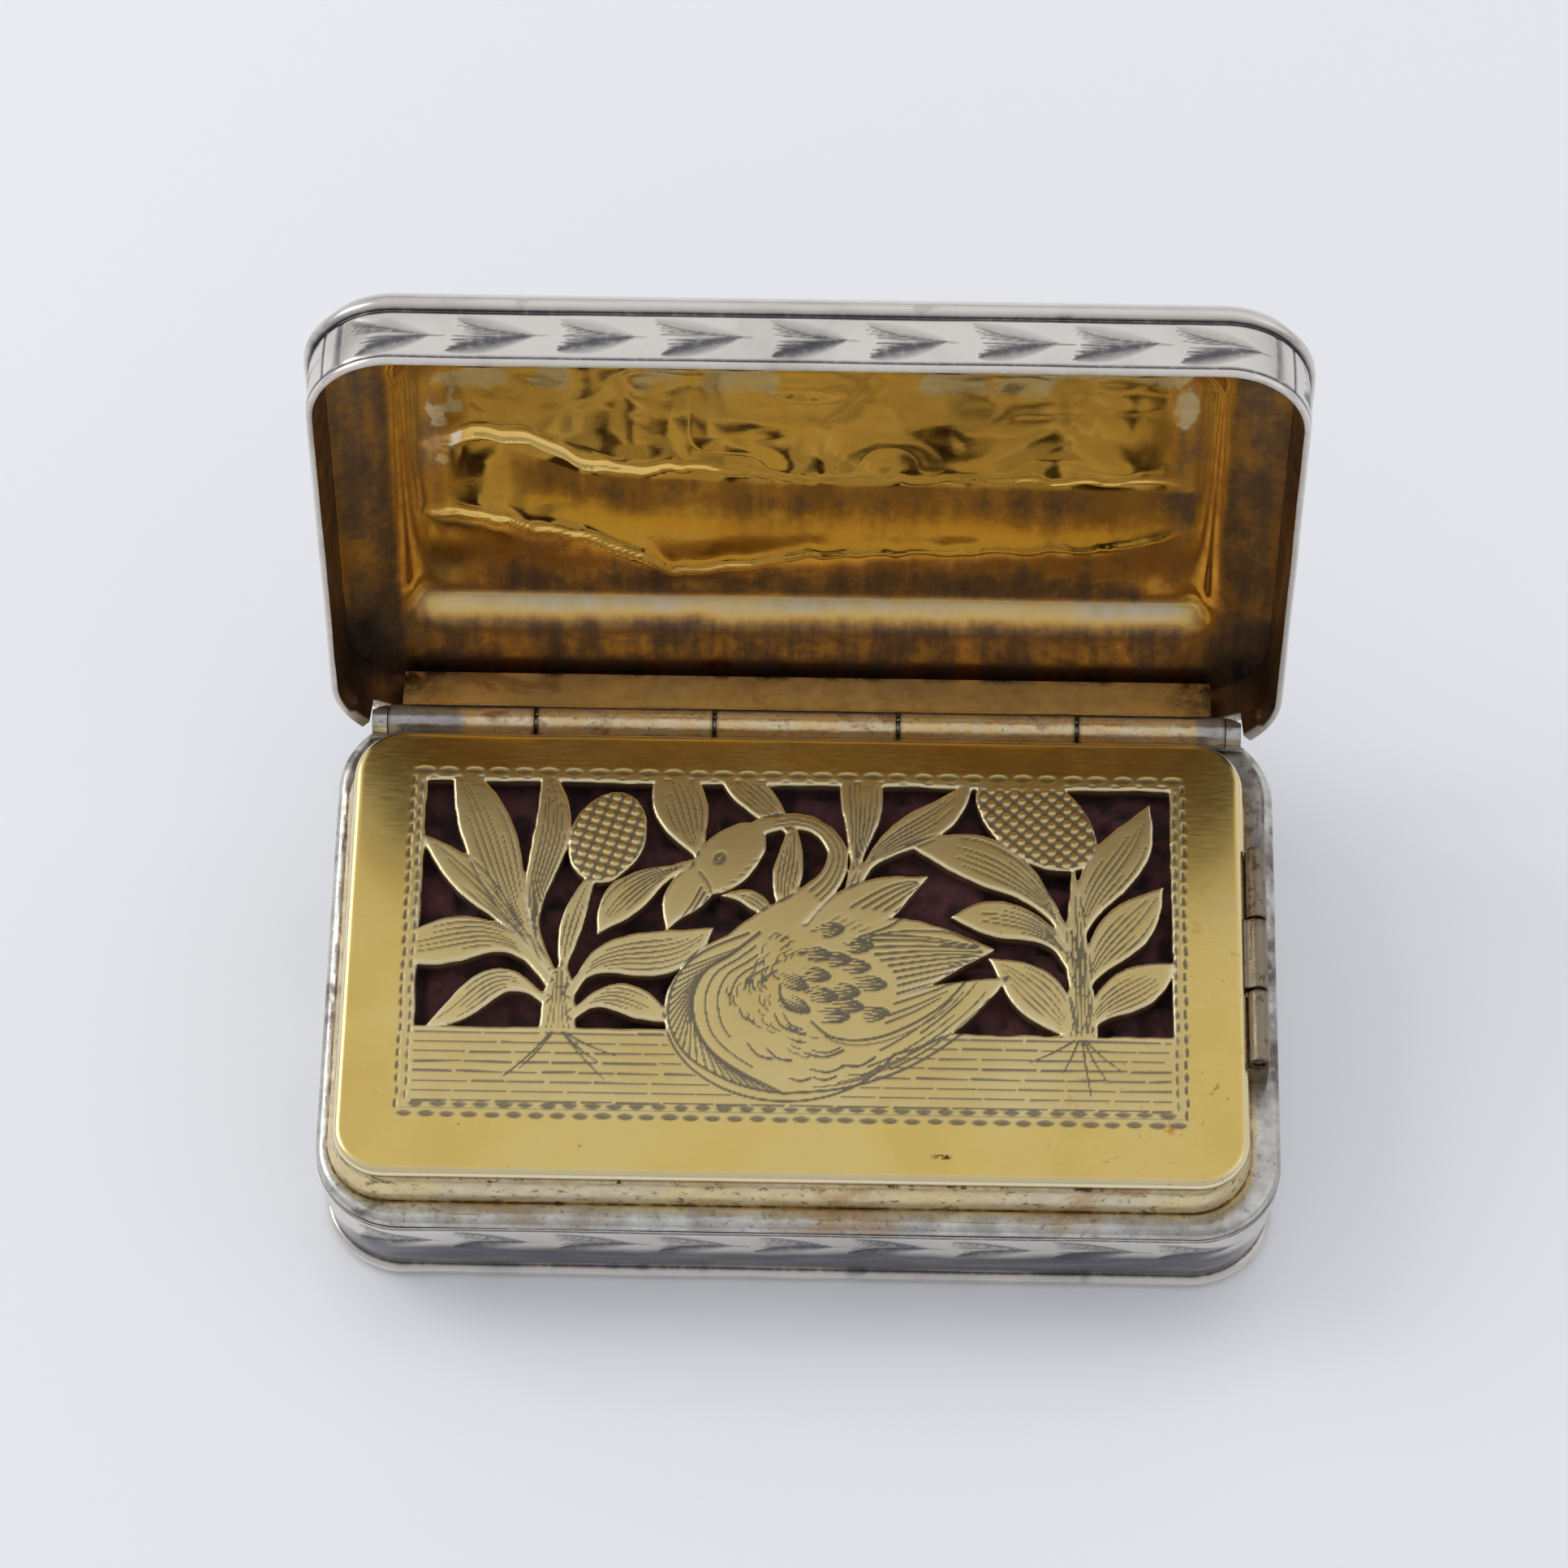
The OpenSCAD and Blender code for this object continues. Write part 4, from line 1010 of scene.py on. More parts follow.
FIELD = (-14.8, 14.8, -3.5, 7.4)
FIELD_SHIFT = np.array((-0.25, -0.2))
STEM = 0.46
LEAVES = [
    (-9.6, -2.4, -14.4, -3.6, 1.4, -1.1, 0.5, -0.4), (-9.6, -1.6, -16.6, -0.5, 2, -1.45, 0.6, -0.35),
    (-9.6, -1, -15, 5, 1.4, -0.2, 0.65, 0), (-9.6, -1, -13.9, 8.5, 2.2, 0.1, 0.62, 0.2),
    (-9.5, -1.2, -10.3, 8.5, 1.5, 0.15, 0.65, 0.5), (-9.1, -1.8, -7.9, 3.6, 0.95, 0.35, 0.55, 0),
    (-8.9, -2.2, -3.2, 1, 2, 0.4, 0.6, 0.45), (-8.8, -3.1, -4.6, -3.3, 1.3, 1, 0.55, 0.15),
    (-3.6, 3.9, -7.8, 0.6, 1.65, -0.7, 0.65, 0), (-3.7, 3.8, -5.7, 8.6, 2.2, -0.1, 0.55, 0.1),
    (-0.2, 5.2, -3.6, 8.3, 1.4, -0.2, 0.5, 0), (-0.4, 1.2, -0.3, 6, 1.15, 0, 0.5, 0.1),
    (-0.9, 1, -3, 2.4, 0.8, -0.6, 0.5, 0), (2.1, 2.4, 2.3, 9.6, 1.75, -0.3, 0.65, 0),
    (2.2, 2.6, 6.9, 7.7, 1.55, 0.2, 0.62, 0.3), (11.3, -3.8, 10.9, 4.4, 1, 0, 0.35, 0),
    (11.1, -0.2, 4.3, 4.8, 2.1, -1.45, 0.66, 0), (11.2, -1.4, 6, 1.6, 1.65, -1.3, 0.68, -0.1),
    (11, -3.8, 7.6, -0.2, 2.1, -0.35, 0.5, 0), (11.2, 0.2, 14, 6.8, 2.1, 0.3, 0.58, 0.2),
    (11.3, -1.8, 14.5, 3.1, 2, 0.3, 0.58, 0.1), (11.3, -3.7, 15, -0.2, 1.8, 0.4, 0.58, 0.15),
    (-2.9, 4.3, -5.1, 0.8, 1.65, -0.2, 0.5, 0.1), (-0.5, -0.6, 5.2, 3.4, 2.2, 0.3, 0.55, 0),
    (-1, -1.6, 7.8, 0.2, 3.6, 0.4, 0.5, 0), (0.5, -4.5, 8.4, -1, 2.5, -0.25, 0.5, 0),
]
ROUNDS = [(-0.3, -2.7, 4.8, 3.9, 0), (-2.7, 4.1, 1.9, 1.15, 50), (-7.55, 4.95, 2.1, 1.5, 72), (9.5, 6, 2.8, 1.75, -42)]
NECK = [(-2.4, 4.9, 0.95), (-1.2, 5.6, 0.75), (0, 5.8, 0.7), (1, 5.4, 0.75), (1.6, 4.4, 0.8),
        (1.3, 3.2, 0.95), (0.3, 2.1, 1.25), (-0.9, 1, 1.9), (-1.8, -0.4, 3)]


def leaf_mid(f, t):
    dx, dy = f[2] - f[0], f[3] - f[1]
    l = math.hypot(dx, dy)
    b = 4 * f[5] * t * (1 - t) + f[7] * np.sin(2 * np.pi * t)
    return np.stack([f[0] + dx * t - dy / l * b, f[1] + dy * t + dx / l * b], -1)


def leaf_half(f, t):
    p = math.log(0.5) / math.log(f[6])
    return np.maximum.reduce([f[4] / 2 * np.sin(np.pi * np.clip(t, 0, 1) ** p), STEM / 2 * (t < f[6]), np.full_like(t, 0.02)])


def leaf_edge(f, t, s):
    a, b = leaf_mid(f, np.maximum(t - 0.02, 0)), leaf_mid(f, np.minimum(t + 0.02, 1))
    d = b - a
    l = np.hypot(d[:, 0], d[:, 1])
    h = leaf_half(f, t)
    return leaf_mid(f, t) + (s * h / l)[:, None] * np.stack([-d[:, 1], d[:, 0]], -1)


def leaf_poly(f):
    t = np.linspace(0, 1, 41)
    return np.concatenate([leaf_edge(f, t, 1), leaf_edge(f, t, -1)[::-1]])


def round_poly(e):
    a = np.linspace(0, 2 * np.pi, 90, endpoint=False)
    c, s = math.cos(math.radians(e[4])), math.sin(math.radians(e[4]))
    return np.stack([e[0] + e[2] * np.cos(a) * c - e[3] * np.sin(a) * s, e[1] + e[2] * np.cos(a) * s + e[3] * np.sin(a) * c], -1)


def dense_neck():
    """The bent band with points between the given ones."""
    k = np.array(NECK, float)
    t = np.arange(len(k))
    tt = np.linspace(0, len(k) - 1, 65)
    out = []
    for x in tt:
        i = int(min(max(math.floor(x), 0), len(k) - 2))
        u = x - i
        p0, p1, p2, p3 = k[max(i - 1, 0)], k[i], k[i + 1], k[min(i + 2, len(k) - 1)]
        out.append(0.5 * (2 * p1 + (p2 - p0) * u + (2 * p0 - 5 * p1 + 4 * p2 - p3) * u * u + (3 * p1 - p0 - 3 * p2 + p3) * u ** 3))
    return np.array(out)


NECKLINE = dense_neck()


def band_side(k, s):
    d = np.gradient(k[:, :2], axis=0)
    l = np.hypot(d[:, 0], d[:, 1])
    return np.stack([k[:, 0] - s * d[:, 1] / l * k[:, 2] / 2, k[:, 1] + s * d[:, 0] / l * k[:, 2] / 2], -1)


def neck_poly():
    return np.concatenate([band_side(NECKLINE, 1), band_side(NECKLINE, -1)[::-1]])


def foot_poly(x):
    return np.array([[x - 0.75, -4], [x + 0.75, -4], [x + 0.65, -1.9], [x + 0.35, -0.9], [x - 0.35, -0.9], [x - 0.65, -1.9]])


def signed_distance(poly, x, y):
    """Distance to a polygon's edge, positive inside, on arrays."""
    best = np.full(x.shape, 1e9)
    inside = np.zeros(x.shape, bool)
    q = np.roll(poly, -1, 0)
    for (ax, ay), (bx, by) in zip(poly, q):
        dx, dy = bx - ax, by - ay
        ll = dx * dx + dy * dy
        if ll < 1e-12:
            continue
        t = np.clip(((x - ax) * dx + (y - ay) * dy) / ll, 0, 1)
        best = np.minimum(best, (x - ax - t * dx) ** 2 + (y - ay - t * dy) ** 2)
        cross = (ay > y) != (by > y)
        if cross.any():
            inside ^= cross & (x < ax + (y - ay) * dx / (dy if dy else 1e-9))
    d = np.sqrt(best)
    return np.where(inside, d, -d)


class Sheet:
    """The engraved rectangle as a fine grid, with the openwork's distance field, cut lines and beads."""

    def __init__(self, x0, x1, y0, y1, h):
        self.nx, self.ny = int(round((x1 - x0) / h)), int(round((y1 - y0) / h))
        self.x = np.linspace(x0, x1, self.nx + 1)
        self.y = np.linspace(y0, y1, self.ny + 1)
        self.h = h
        self.X, self.Y = np.meshgrid(self.x, self.y)
        f = FIELD
        dx = np.maximum(f[0] - self.X, self.X - f[1])
        dy = np.maximum(f[2] - self.Y, self.Y - f[3])
        self.d = np.where((dx <= 0) & (dy <= 0), np.maximum(dx, dy), np.hypot(np.maximum(dx, 0), np.maximum(dy, 0)))
        self.cut = np.zeros_like(self.X)
        self.line = np.zeros_like(self.X)
        self.rise = np.zeros_like(self.X)
        self.own = {}

    def window(self, lo, hi, pad):
        i0, i1 = np.searchsorted(self.x, [lo[0] - pad, hi[0] + pad])
        j0, j1 = np.searchsorted(self.y, [lo[1] - pad, hi[1] + pad])
        return slice(max(j0, 0), min(j1 + 1, self.ny + 1)), slice(max(i0, 0), min(i1 + 1, self.nx + 1))

    def solid(self, name, poly):
        w = self.window(poly.min(0), poly.max(0), 0.8)
        sd = signed_distance(poly, self.X[w], self.Y[w])
        self.d[w] = np.maximum(self.d[w], sd)
        self.own[name] = (w, sd)

    def stroke(self, pts, w0, w1=None, depth=0.03, tone=1.0):
        """A cut along a polyline; its half width goes from w0 to w1."""
        pts = np.asarray(pts, float)
        w1 = w0 if w1 is None else w1
        w0, w1 = 1.25 * w0, 1.25 * w1
        k = len(pts) - 1
        for i in range(k):
            a, b = pts[i], pts[i + 1]
            ha, hb = w0 + (w1 - w0) * i / k, w0 + (w1 - w0) * (i + 1) / k
            big = max(ha, hb)
            w = self.window(np.minimum(a, b), np.maximum(a, b), big)
            x, y = self.X[w], self.Y[w]
            if x.size == 0:
                continue
            d = b - a
            ll = max(d @ d, 1e-12)
            t = np.clip(((x - a[0]) * d[0] + (y - a[1]) * d[1]) / ll, 0, 1)
            r = np.hypot(x - a[0] - t * d[0], y - a[1] - t * d[1]) / (ha + (hb - ha) * t)
            v = np.clip(1 - r * r, 0, 1)
            self.cut[w] = np.maximum(self.cut[w], depth * v)
            self.line[w] = np.maximum(self.line[w], tone * np.clip(1.35 * v, 0, 1))

    def lozenge(self, x, y, a, b, turn=0.0, depth=0.04, tone=1.0):
        w = self.window(np.array([x - a - b, y - a - b]), np.array([x + a + b, y + a + b]), 0)
        c, s = math.cos(turn), math.sin(turn)
        u = (self.X[w] - x) * c + (self.Y[w] - y) * s
        q = -(self.X[w] - x) * s + (self.Y[w] - y) * c
        v = np.clip(1 - (np.abs(u) / a) ** 1.8 - (np.abs(q) / b) ** 1.8, 0, 1)
        self.cut[w] = np.maximum(self.cut[w], depth * np.minimum(1, 1.4 * v))
        self.line[w] = np.maximum(self.line[w], tone * np.clip(1.8 * v, 0, 1))


def arc_pts(cx, cy, rx, ry, a0, a1, n=14, turn=0.0):
    a = np.radians(np.linspace(a0, a1, n))
    c, s = math.cos(math.radians(turn)), math.sin(math.radians(turn))
    x, y = rx * np.cos(a), ry * np.sin(a)
    return np.stack([cx + x * c - y * s, cy + x * s + y * c], -1)


def curve(*p, n=12):
    """Smooth line through a few points."""
    p = np.array(p, float)
    t = np.linspace(0, len(p) - 1, n)
    out = []
    for x in t:
        i = int(min(math.floor(x), len(p) - 2))
        u = x - i
        p0, p1, p2, p3 = p[max(i - 1, 0)], p[i], p[i + 1], p[min(i + 2, len(p) - 1)]
        out.append(0.5 * (2 * p1 + (p2 - p0) * u + (2 * p0 - 5 * p1 + 4 * p2 - p3) * u * u + (3 * p1 - p0 - 3 * p2 + p3) * u ** 3))
    return np.array(out)


def engrave(g):
    r = np.random.default_rng(3)
    for i, f in enumerate(LEAVES):
        g.solid(("leaf", i), leaf_poly(f))
    for i, e in enumerate(ROUNDS):
        g.solid(("round", i), round_poly(e))
    g.solid("neck", neck_poly())
    g.solid("foot_l", foot_poly(-9.2))
    g.solid("foot_r", foot_poly(11.2))
    wob = np.c_[g.X.ravel(), g.Y.ravel()]
    wob = (0.055 * fbm(wob, 1.5, 2, 4) + 0.02 * lattice(wob, 0.45, 5)).reshape(g.X.shape)
    g.d = g.d + np.where(np.abs(g.d) < 0.5, wob, 0)

    # the bird as one shape, so that leaves and water stop at it
    bird = np.full_like(g.X, -9.0)
    for name in (("round", 0), ("round", 1), ("leaf", 22), ("leaf", 23), ("leaf", 24), ("leaf", 25), "neck"):
        w, sd = g.own[name]
        bird[w] = np.maximum(bird[w], sd)

    # veins and outlines of the leaves
    for i, f in enumerate(LEAVES[:22]):
        w, sd = g.own[("leaf", i)]
        v = np.clip(1 - ((sd - 0.03) / 0.055) ** 2, 0, 1) * smooth(0.10, 0.2, g.d[w]) * (g.Y[w] > -3.4)
        g.cut[w] = np.maximum(g.cut[w], 0.016 * v)
        g.line[w] = np.maximum(g.line[w], 0.8 * np.clip(1.3 * v, 0, 1))
        qs = (-0.72, -0.46, -0.22, 0.02, 0.26, 0.5) if f[4] > 1.45 else (-0.6, -0.28, 0.02, 0.32, 0.6) if f[4] > 1.0 else (-0.45, 0.0, 0.45)
        for q in qs:
            t1 = r.uniform(0.68, 0.93) if abs(q) < 0.3 else r.uniform(0.55, 0.82)
            t = np.linspace(r.uniform(0.16, 0.24) if abs(q) < 0.3 else r.uniform(0.26, 0.36), t1, 18)
            mid = leaf_mid(f, t)
            edge = leaf_edge(f, t, 1 if q > 0 else -1)
            path = mid + (edge - mid) * abs(q)
            g.stroke(path[:9], 0.026, 0.046, 0.012, 0.85)
            g.stroke(path[8:], 0.046, 0.020, 0.014, 0.85)

    for x0, top in ((-9.2, -0.6), (11.25, 0.6)):
        for k in range(-2, 3):
            g.stroke(curve((x0 + 0.22 * k, -3.55), (x0 + 0.13 * k, -2.4), (x0 + 0.10 * k, top - 0.5 * abs(k)), n=9), 0.03, 0.035, 0.013, 0.8)
    off = (g.X < FIELD[0] - 0.05) | (g.X > FIELD[1] + 0.05) | (g.Y > FIELD[3] + 0.05) | (g.Y < FIELD[2] - 0.1)
    g.cut[off], g.line[off] = 0, 0

    # beaded fruits
    for e in (ROUNDS[2], ROUNDS[3]):
        w = g.window(np.array([e[0] - 3, e[1] - 3]), np.array([e[0] + 3, e[1] + 3]), 0)
        turn = math.radians(e[4])
        c, s = math.cos(turn), math.sin(turn)
        u = (g.X[w] - e[0]) * c + (g.Y[w] - e[1]) * s
        q = -(g.X[w] - e[0]) * s + (g.Y[w] - e[1]) * c
        inside = smooth(1.0, 0.86, (u / e[2]) ** 2 + (q / e[3]) ** 2) * (g.d[w] > 0.08) * (g.Y[w] < FIELD[3] - 0.05)
        bead = np.clip(1 - (((u / 0.40) % 1 - 0.5) / 0.42) ** 2 - (((q / 0.46) % 1 - 0.5) / 0.40) ** 2, 0, 1)
        gap = 1 - np.clip(bead * 2.2, 0, 1)
        g.rise[w] = np.maximum(g.rise[w], 0.025 * np.sqrt(bead) * inside)
        g.cut[w] = np.where(inside > 0.5, 0.02 * gap, g.cut[w])
        g.line[w] = np.where(inside > 0.5, 0.72 * gap, g.line[w])

    # clear the bird's surface of what was drawn behind it, and outline it where it crosses leaves
    inside = bird > 0.0
    g.cut[inside], g.line[inside] = 0, 0
    v = np.clip(1 - ((bird - 0.04) / 0.07) ** 2, 0, 1) * smooth(0.08, 0.18, g.d)
    g.cut = np.maximum(g.cut, 0.02 * v)
    g.line = np.maximum(g.line, 0.9 * np.clip(1.3 * v, 0, 1))

    # neck, head and bill
    for s_, q in ((1, 0.62), (1, 0.15), (-1, 0.45)):
        side = band_side(NECKLINE, s_)
        path = NECKLINE[:, :2] + (side - NECKLINE[:, :2]) * q
        g.stroke(path[10:46], 0.035, 0.055, 0.014, 0.7)
    for a in (0.0, 1.0):
        g.stroke(arc_pts(-3.05, 4.05, 0.13 + 0.13 * a, 0.10 + 0.10 * a, 0, 360, 18, 50), 0.045, None, 0.016, 0.85)
    g.stroke(curve((-3.85, 3.45), (-3.45, 2.85), (-3.25, 1.95), n=10), 0.05, None, 0.016, 0.8)
    for k in range(4):
        g.stroke(curve((-3.75 + 0.13 * k, 2.75 - 0.22 * k), (-4.1 + 0.1 * k, 2.0 - 0.22 * k), (-4.45 + 0.12 * k, 1.45 - 0.2 * k), n=8), 0.06, 0.035, 0.018, 0.9)
    for k in range(7):
        x, y = -1.5 - 0.3 * k, 4.0 - 0.33 * k
        g.stroke([(x, y), (x - 0.22, y - 0.03)], 0.04, 0.03, 0.012, 0.7)

    # breast: an outer rim with a slanting hatch, then nested curves
    outer = curve((-1.84, 0.75), (-3.60, -0.12), (-4.55, -1.15), (-4.90, -2.45), (-4.74, -3.62), (-4.05, -4.72), (-2.70, -5.60), (-1.45, -6.05), (-0.32, -6.22), n=60)
    inner = curve((-1.41, 0.78), (-2.45, -0.16), (-3.45, -0.89), (-3.90, -1.84), (-3.93, -2.79), (-3.58, -3.95), (-2.62, -4.95), (-1.27, -5.82), n=60)
    g.stroke(outer, 0.055, None, 0.018, 0.9)
    g.stroke(inner, 0.07, 0.06, 0.02, 0.95)
    for k in range(6, 54, 2):
        g.stroke([inner[k], outer[min(k + 7, 59)]], 0.042, 0.05, 0.014, 0.8)
    hub = np.array((1.2, -1.7))
    for k, (a, b) in enumerate(((4, 56), (6, 46), (7, 34), (8, 26), (8, 20))):
        path = hub + (inner - hub) * (1 - 0.095 * (k + 1))
        g.stroke(path[a:b], 0.05, 0.045, 0.016, 0.85)
    for x, y, dx, dy, w in ((-1.79, -1.2, -0.12, -0.35, .05), (-1.6, -1.35, 0.05, -0.4, .05), (-0.9, -0.85, 0.3, -0.4, .05), (-0.55, -1.5, 0.45, -1.1, .085),
                            (-2.1, -2.55, 0.3, -0.5, .055), (-1.8, -2.75, 0.32, -0.5, .05), (-0.75, -2.8, 0.8, -0.75, .06), (-0.4, -2.75, 0.75, -0.7, .05),
                            (-1.75, -4.1, 0.95, -0.65, .06), (-1.0, -4.3, 0.95, -0.5, .06), (0.45, -4.45, 1.5, 0.12, .065), (0.75, -4.35, 1.1, 0.15, .05),
                            (0.7, -5.15, 1.3, 0.15, .055), (1.9, -4.95, 1.3, 0.35, .065), (-0.1, -5.55, 0.8, 0.0, .06), (0.8, -5.5, 0.9, 0.05, .055),
                            (2.2, -5.35, 1.2, 0.4, .055), (0.1, -0.15, 0.35, 0.12, .05), (-2.6, -1.6, 0.1, -0.5, .045), (-2.35, -2.0, 0.1, -0.45, .045)):
        a, b = np.array((x, y)), np.array((x + dx, y + dy))
        bow = np.array((dy, -dx)) * 0.16
        g.stroke(curve(a, (a + b) / 2 + bow, b, n=8), w * 0.7, w, 0.02, 0.9)

    for _ in range(46):
        a = math.radians(r.uniform(120, 262))
        q = r.uniform(0.42, 0.70)
        c = hub + np.array((4.9 * math.cos(a), 4.3 * math.sin(a))) * q
        turn = a + math.pi / 2 + r.uniform(-0.3, 0.3)
        d = np.array((math.cos(turn), math.sin(turn))) * r.uniform(0.16, 0.30)
        side = np.array((d[1], -d[0])) * 0.35
        g.stroke(curve(c - d, c + side, c + d, n=6), 0.022, 0.042, 0.014, 0.85)

    # wing: short feathers with shaded ends, long feathers that meet at its point
    for cx, cy, turn in ((1.45, 0.95, 8), (0.95, -0.15, -4), (2.6, 0.25, 6), (0.95, -1.05, -10), (2.5, -0.65, -4), (1.25, -1.95, -12), (3.15, -1.4, -6),
                         (1.7, -2.85, -2), (3.25, -2.7, 8), (2.1, -1.75, -8), (0.2, -2.45, -26), (2.25, -2.4, -4), (0.1, -1.45, -24), (1.75, -0.35, 0)):
        turn = math.radians(turn)
        along, over = np.array((math.cos(turn), math.sin(turn))), np.array((-math.sin(turn), math.cos(turn)))
        mid = np.array((cx, cy))
        for q in (-1.0, -0.6, -0.2, 0.2, 0.6, 1.0):
            l = r.uniform(0.45, 0.95) * (1.15 - 0.4 * abs(q))
            a = mid - along * l + over * (0.30 * q + r.uniform(-0.03, 0.03))
            b = mid + along * (0.46 - 0.24 * q * q) + over * 0.21 * q
            g.stroke(curve(a, (a + b) / 2 + over * 0.05 * q, b, n=6), 0.016, 0.062, 0.014, 0.9)
    start = curve((2.9, 0.75), (3.15, -0.1), (3.9, -0.85), (4.05, -1.8), (3.6, -3.1), n=13)
    end = curve((7.25, 0.30), (7.35, 0.08), (7.25, -0.25), (6.75, -0.85), (5.75, -1.95), n=13)
    for k in range(13):
        a, b = start[k], end[k]
        g.stroke(curve(a, (a + b) / 2 + np.array((0, 0.16 - 0.02 * k)), b, n=12), 0.058, 0.03, 0.017, 0.88)
        if k % 2 == 0 and k < 12:
            c = a * 0.35 + b * 0.65 + np.array((0, 0.05 - 0.14))
            g.stroke([c, b + np.array((-0.25, -0.08))], 0.04, 0.025, 0.012, 0.75)
    low = curve((0.7, -3.1), (1.5, -3.75), (2.78, -3.85), (4.24, -3.35), (5.91, -2.2), (7.2, -0.5), n=34)
    g.stroke(low, 0.06, 0.055, 0.02, 0.92)
    g.stroke(low[4:30] + np.array((0.12, -0.2)), 0.045, 0.035, 0.014, 0.75)
    top = curve((0.55, 0.84), (2.06, 2.2), (3.64, 3.12), (4.95, 3.22), n=24)
    under = curve((2.51, 0.64), (3.77, 1.20), (4.65, 2.05), (5.05, 2.95), n=24)
    g.stroke(under[:22], 0.06, 0.04, 0.018, 0.9)
    g.stroke(curve((2.2, 0.35), (3.4, 0.8), (4.6, 0.95), (6.1, 0.9), (7.2, 0.35), n=20), 0.055, 0.035, 0.016, 0.88)
    for f in (0.14, 0.3, 0.46, 0.62, 0.8):
        path = top * (1 - f) + under * f
        g.stroke(path[7 + int(5 * f):22], 0.055, 0.03, 0.016, 0.85)
        g.stroke(path[3:6], 0.04, 0.03, 0.012, 0.6)

    # tail and lower body
    belly = curve((-0.32, -6.22), (1.76, -6.0), (3.43, -5.5), (4.88, -4.78), (6.34, -3.7), (7.6, -2.45), (8.2, -1.6), n=40)
    g.stroke(belly, 0.06, None, 0.018, 0.9)
    for k, (a, b) in enumerate(((16, 36), (20, 37), (14, 30), (24, 38), (18, 32))):
        g.stroke(belly[a:b] + np.array((-0.28 - 0.22 * k, 0.12 + 0.14 * k)), 0.055, 0.03, 0.016, 0.85)
    for k in range(4):
        g.stroke(belly[4 + 3 * k:13 + 3 * k] + np.array((-0.1, 0.17 + 0.1 * k)), 0.04, 0.05, 0.014, 0.75)

    # water, in broken lines that stop at the bird
    keep = g.cut.copy(), g.line.copy()
    for k in range(8):
        y = -3.78 - 0.425 * k
        x = -14.75
        while x < 14.5:
            l = r.uniform(1.1, 2.1) if k else r.uniform(2.0, 4.0)
            stop = min(x + l, 14.7)
            g.stroke([(x, y + r.uniform(-0.02, 0.02)), (stop, y + r.uniform(-0.02, 0.02))], 0.05, 0.045, 0.016, 0.8)
            x = stop + r.uniform(0.10, 0.26)
    near = (bird > -0.1) & (g.Y < -3.0)
    g.cut[near], g.line[near] = keep[0][near], keep[1][near]
    for x0, dirs in ((-9.2, ((-1.4, -1.9), (-2.0, -2.3), (1.6, -1.5), (2.3, -1.2), (1.9, -2.4))), (11.2, ((-2.0, -1.2), (-0.7, -1.7), (0.4, -2.9), (1.0, -2.1), (1.6, -1.6)))):
        for dx, dy in dirs:
            g.stroke(curve((x0 + 0.12 * dx, -3.75), (x0 + 0.55 * dx, -3.75 + 0.45 * dy), (x0 + dx, -3.7 + 0.85 * dy), n=7), 0.055, 0.03, 0.018, 0.9)

    # rope border: rows of small lozenges with a fine line between
    x0, x1, y0, y1 = -15.45, 15.4, -7.5, 8.0

    def rope(a, b, pitch, la, lb, tone=0.85):
        a, b = np.array(a, float), np.array(b, float)
        length = np.hypot(*(b - a))
        count = int(round(length / pitch))
        turn = math.atan2(*(b - a)[::-1])
        for k in range(count):
            c = a + (b - a) * (k + 0.5) / count
            g.lozenge(c[0] + r.uniform(-.03, .03), c[1] + r.uniform(-.015, .015), la * r.uniform(0.9, 1.1), lb * r.uniform(0.9, 1.1), turn, 0.028, tone)

    rope((x0, y1 - 0.18), (x1, y1 - 0.18), 0.99, 0.47, 0.18, 0.66)
    rope((x0 + 0.4, y1 - 0.46), (x1 - 0.4, y1 - 0.46), 0.93, 0.25, 0.07, 0.6)
    rope((x0, y0 + 0.17), (x1, y0 + 0.17), 0.86, 0.42, 0.16, 0.72)
    rope((x0 + 0.45, y0 + 0.60), (x1 - 0.45, y0 + 0.60), 0.86, 0.40, 0.15, 0.72)
    for x in (x0 + 0.10, x1 - 0.10):
        rope((x, y0 + 0.3), (x, y1 - 0.3), 0.56, 0.26, 0.10)
    for x in (x0 + 0.44, x1 - 0.44):
        rope((x, y0 + 0.7), (x, y1 - 0.6), 0.56, 0.26, 0.09, 0.75)
    g.stroke([(x0 + 0.3, y0 + 0.40), (x1 - 0.3, y0 + 0.40)], 0.035, None, 0.010, 0.5)
    for x in (x0 + 0.27, x1 - 0.27):
        g.stroke([(x, y0 + 0.4), (x, y1 - 0.4)], 0.03, None, 0.010, 0.45)
    g.line *= smooth(-0.02, 0.06, g.d)
    g.cut *= smooth(0.0, 0.08, g.d)


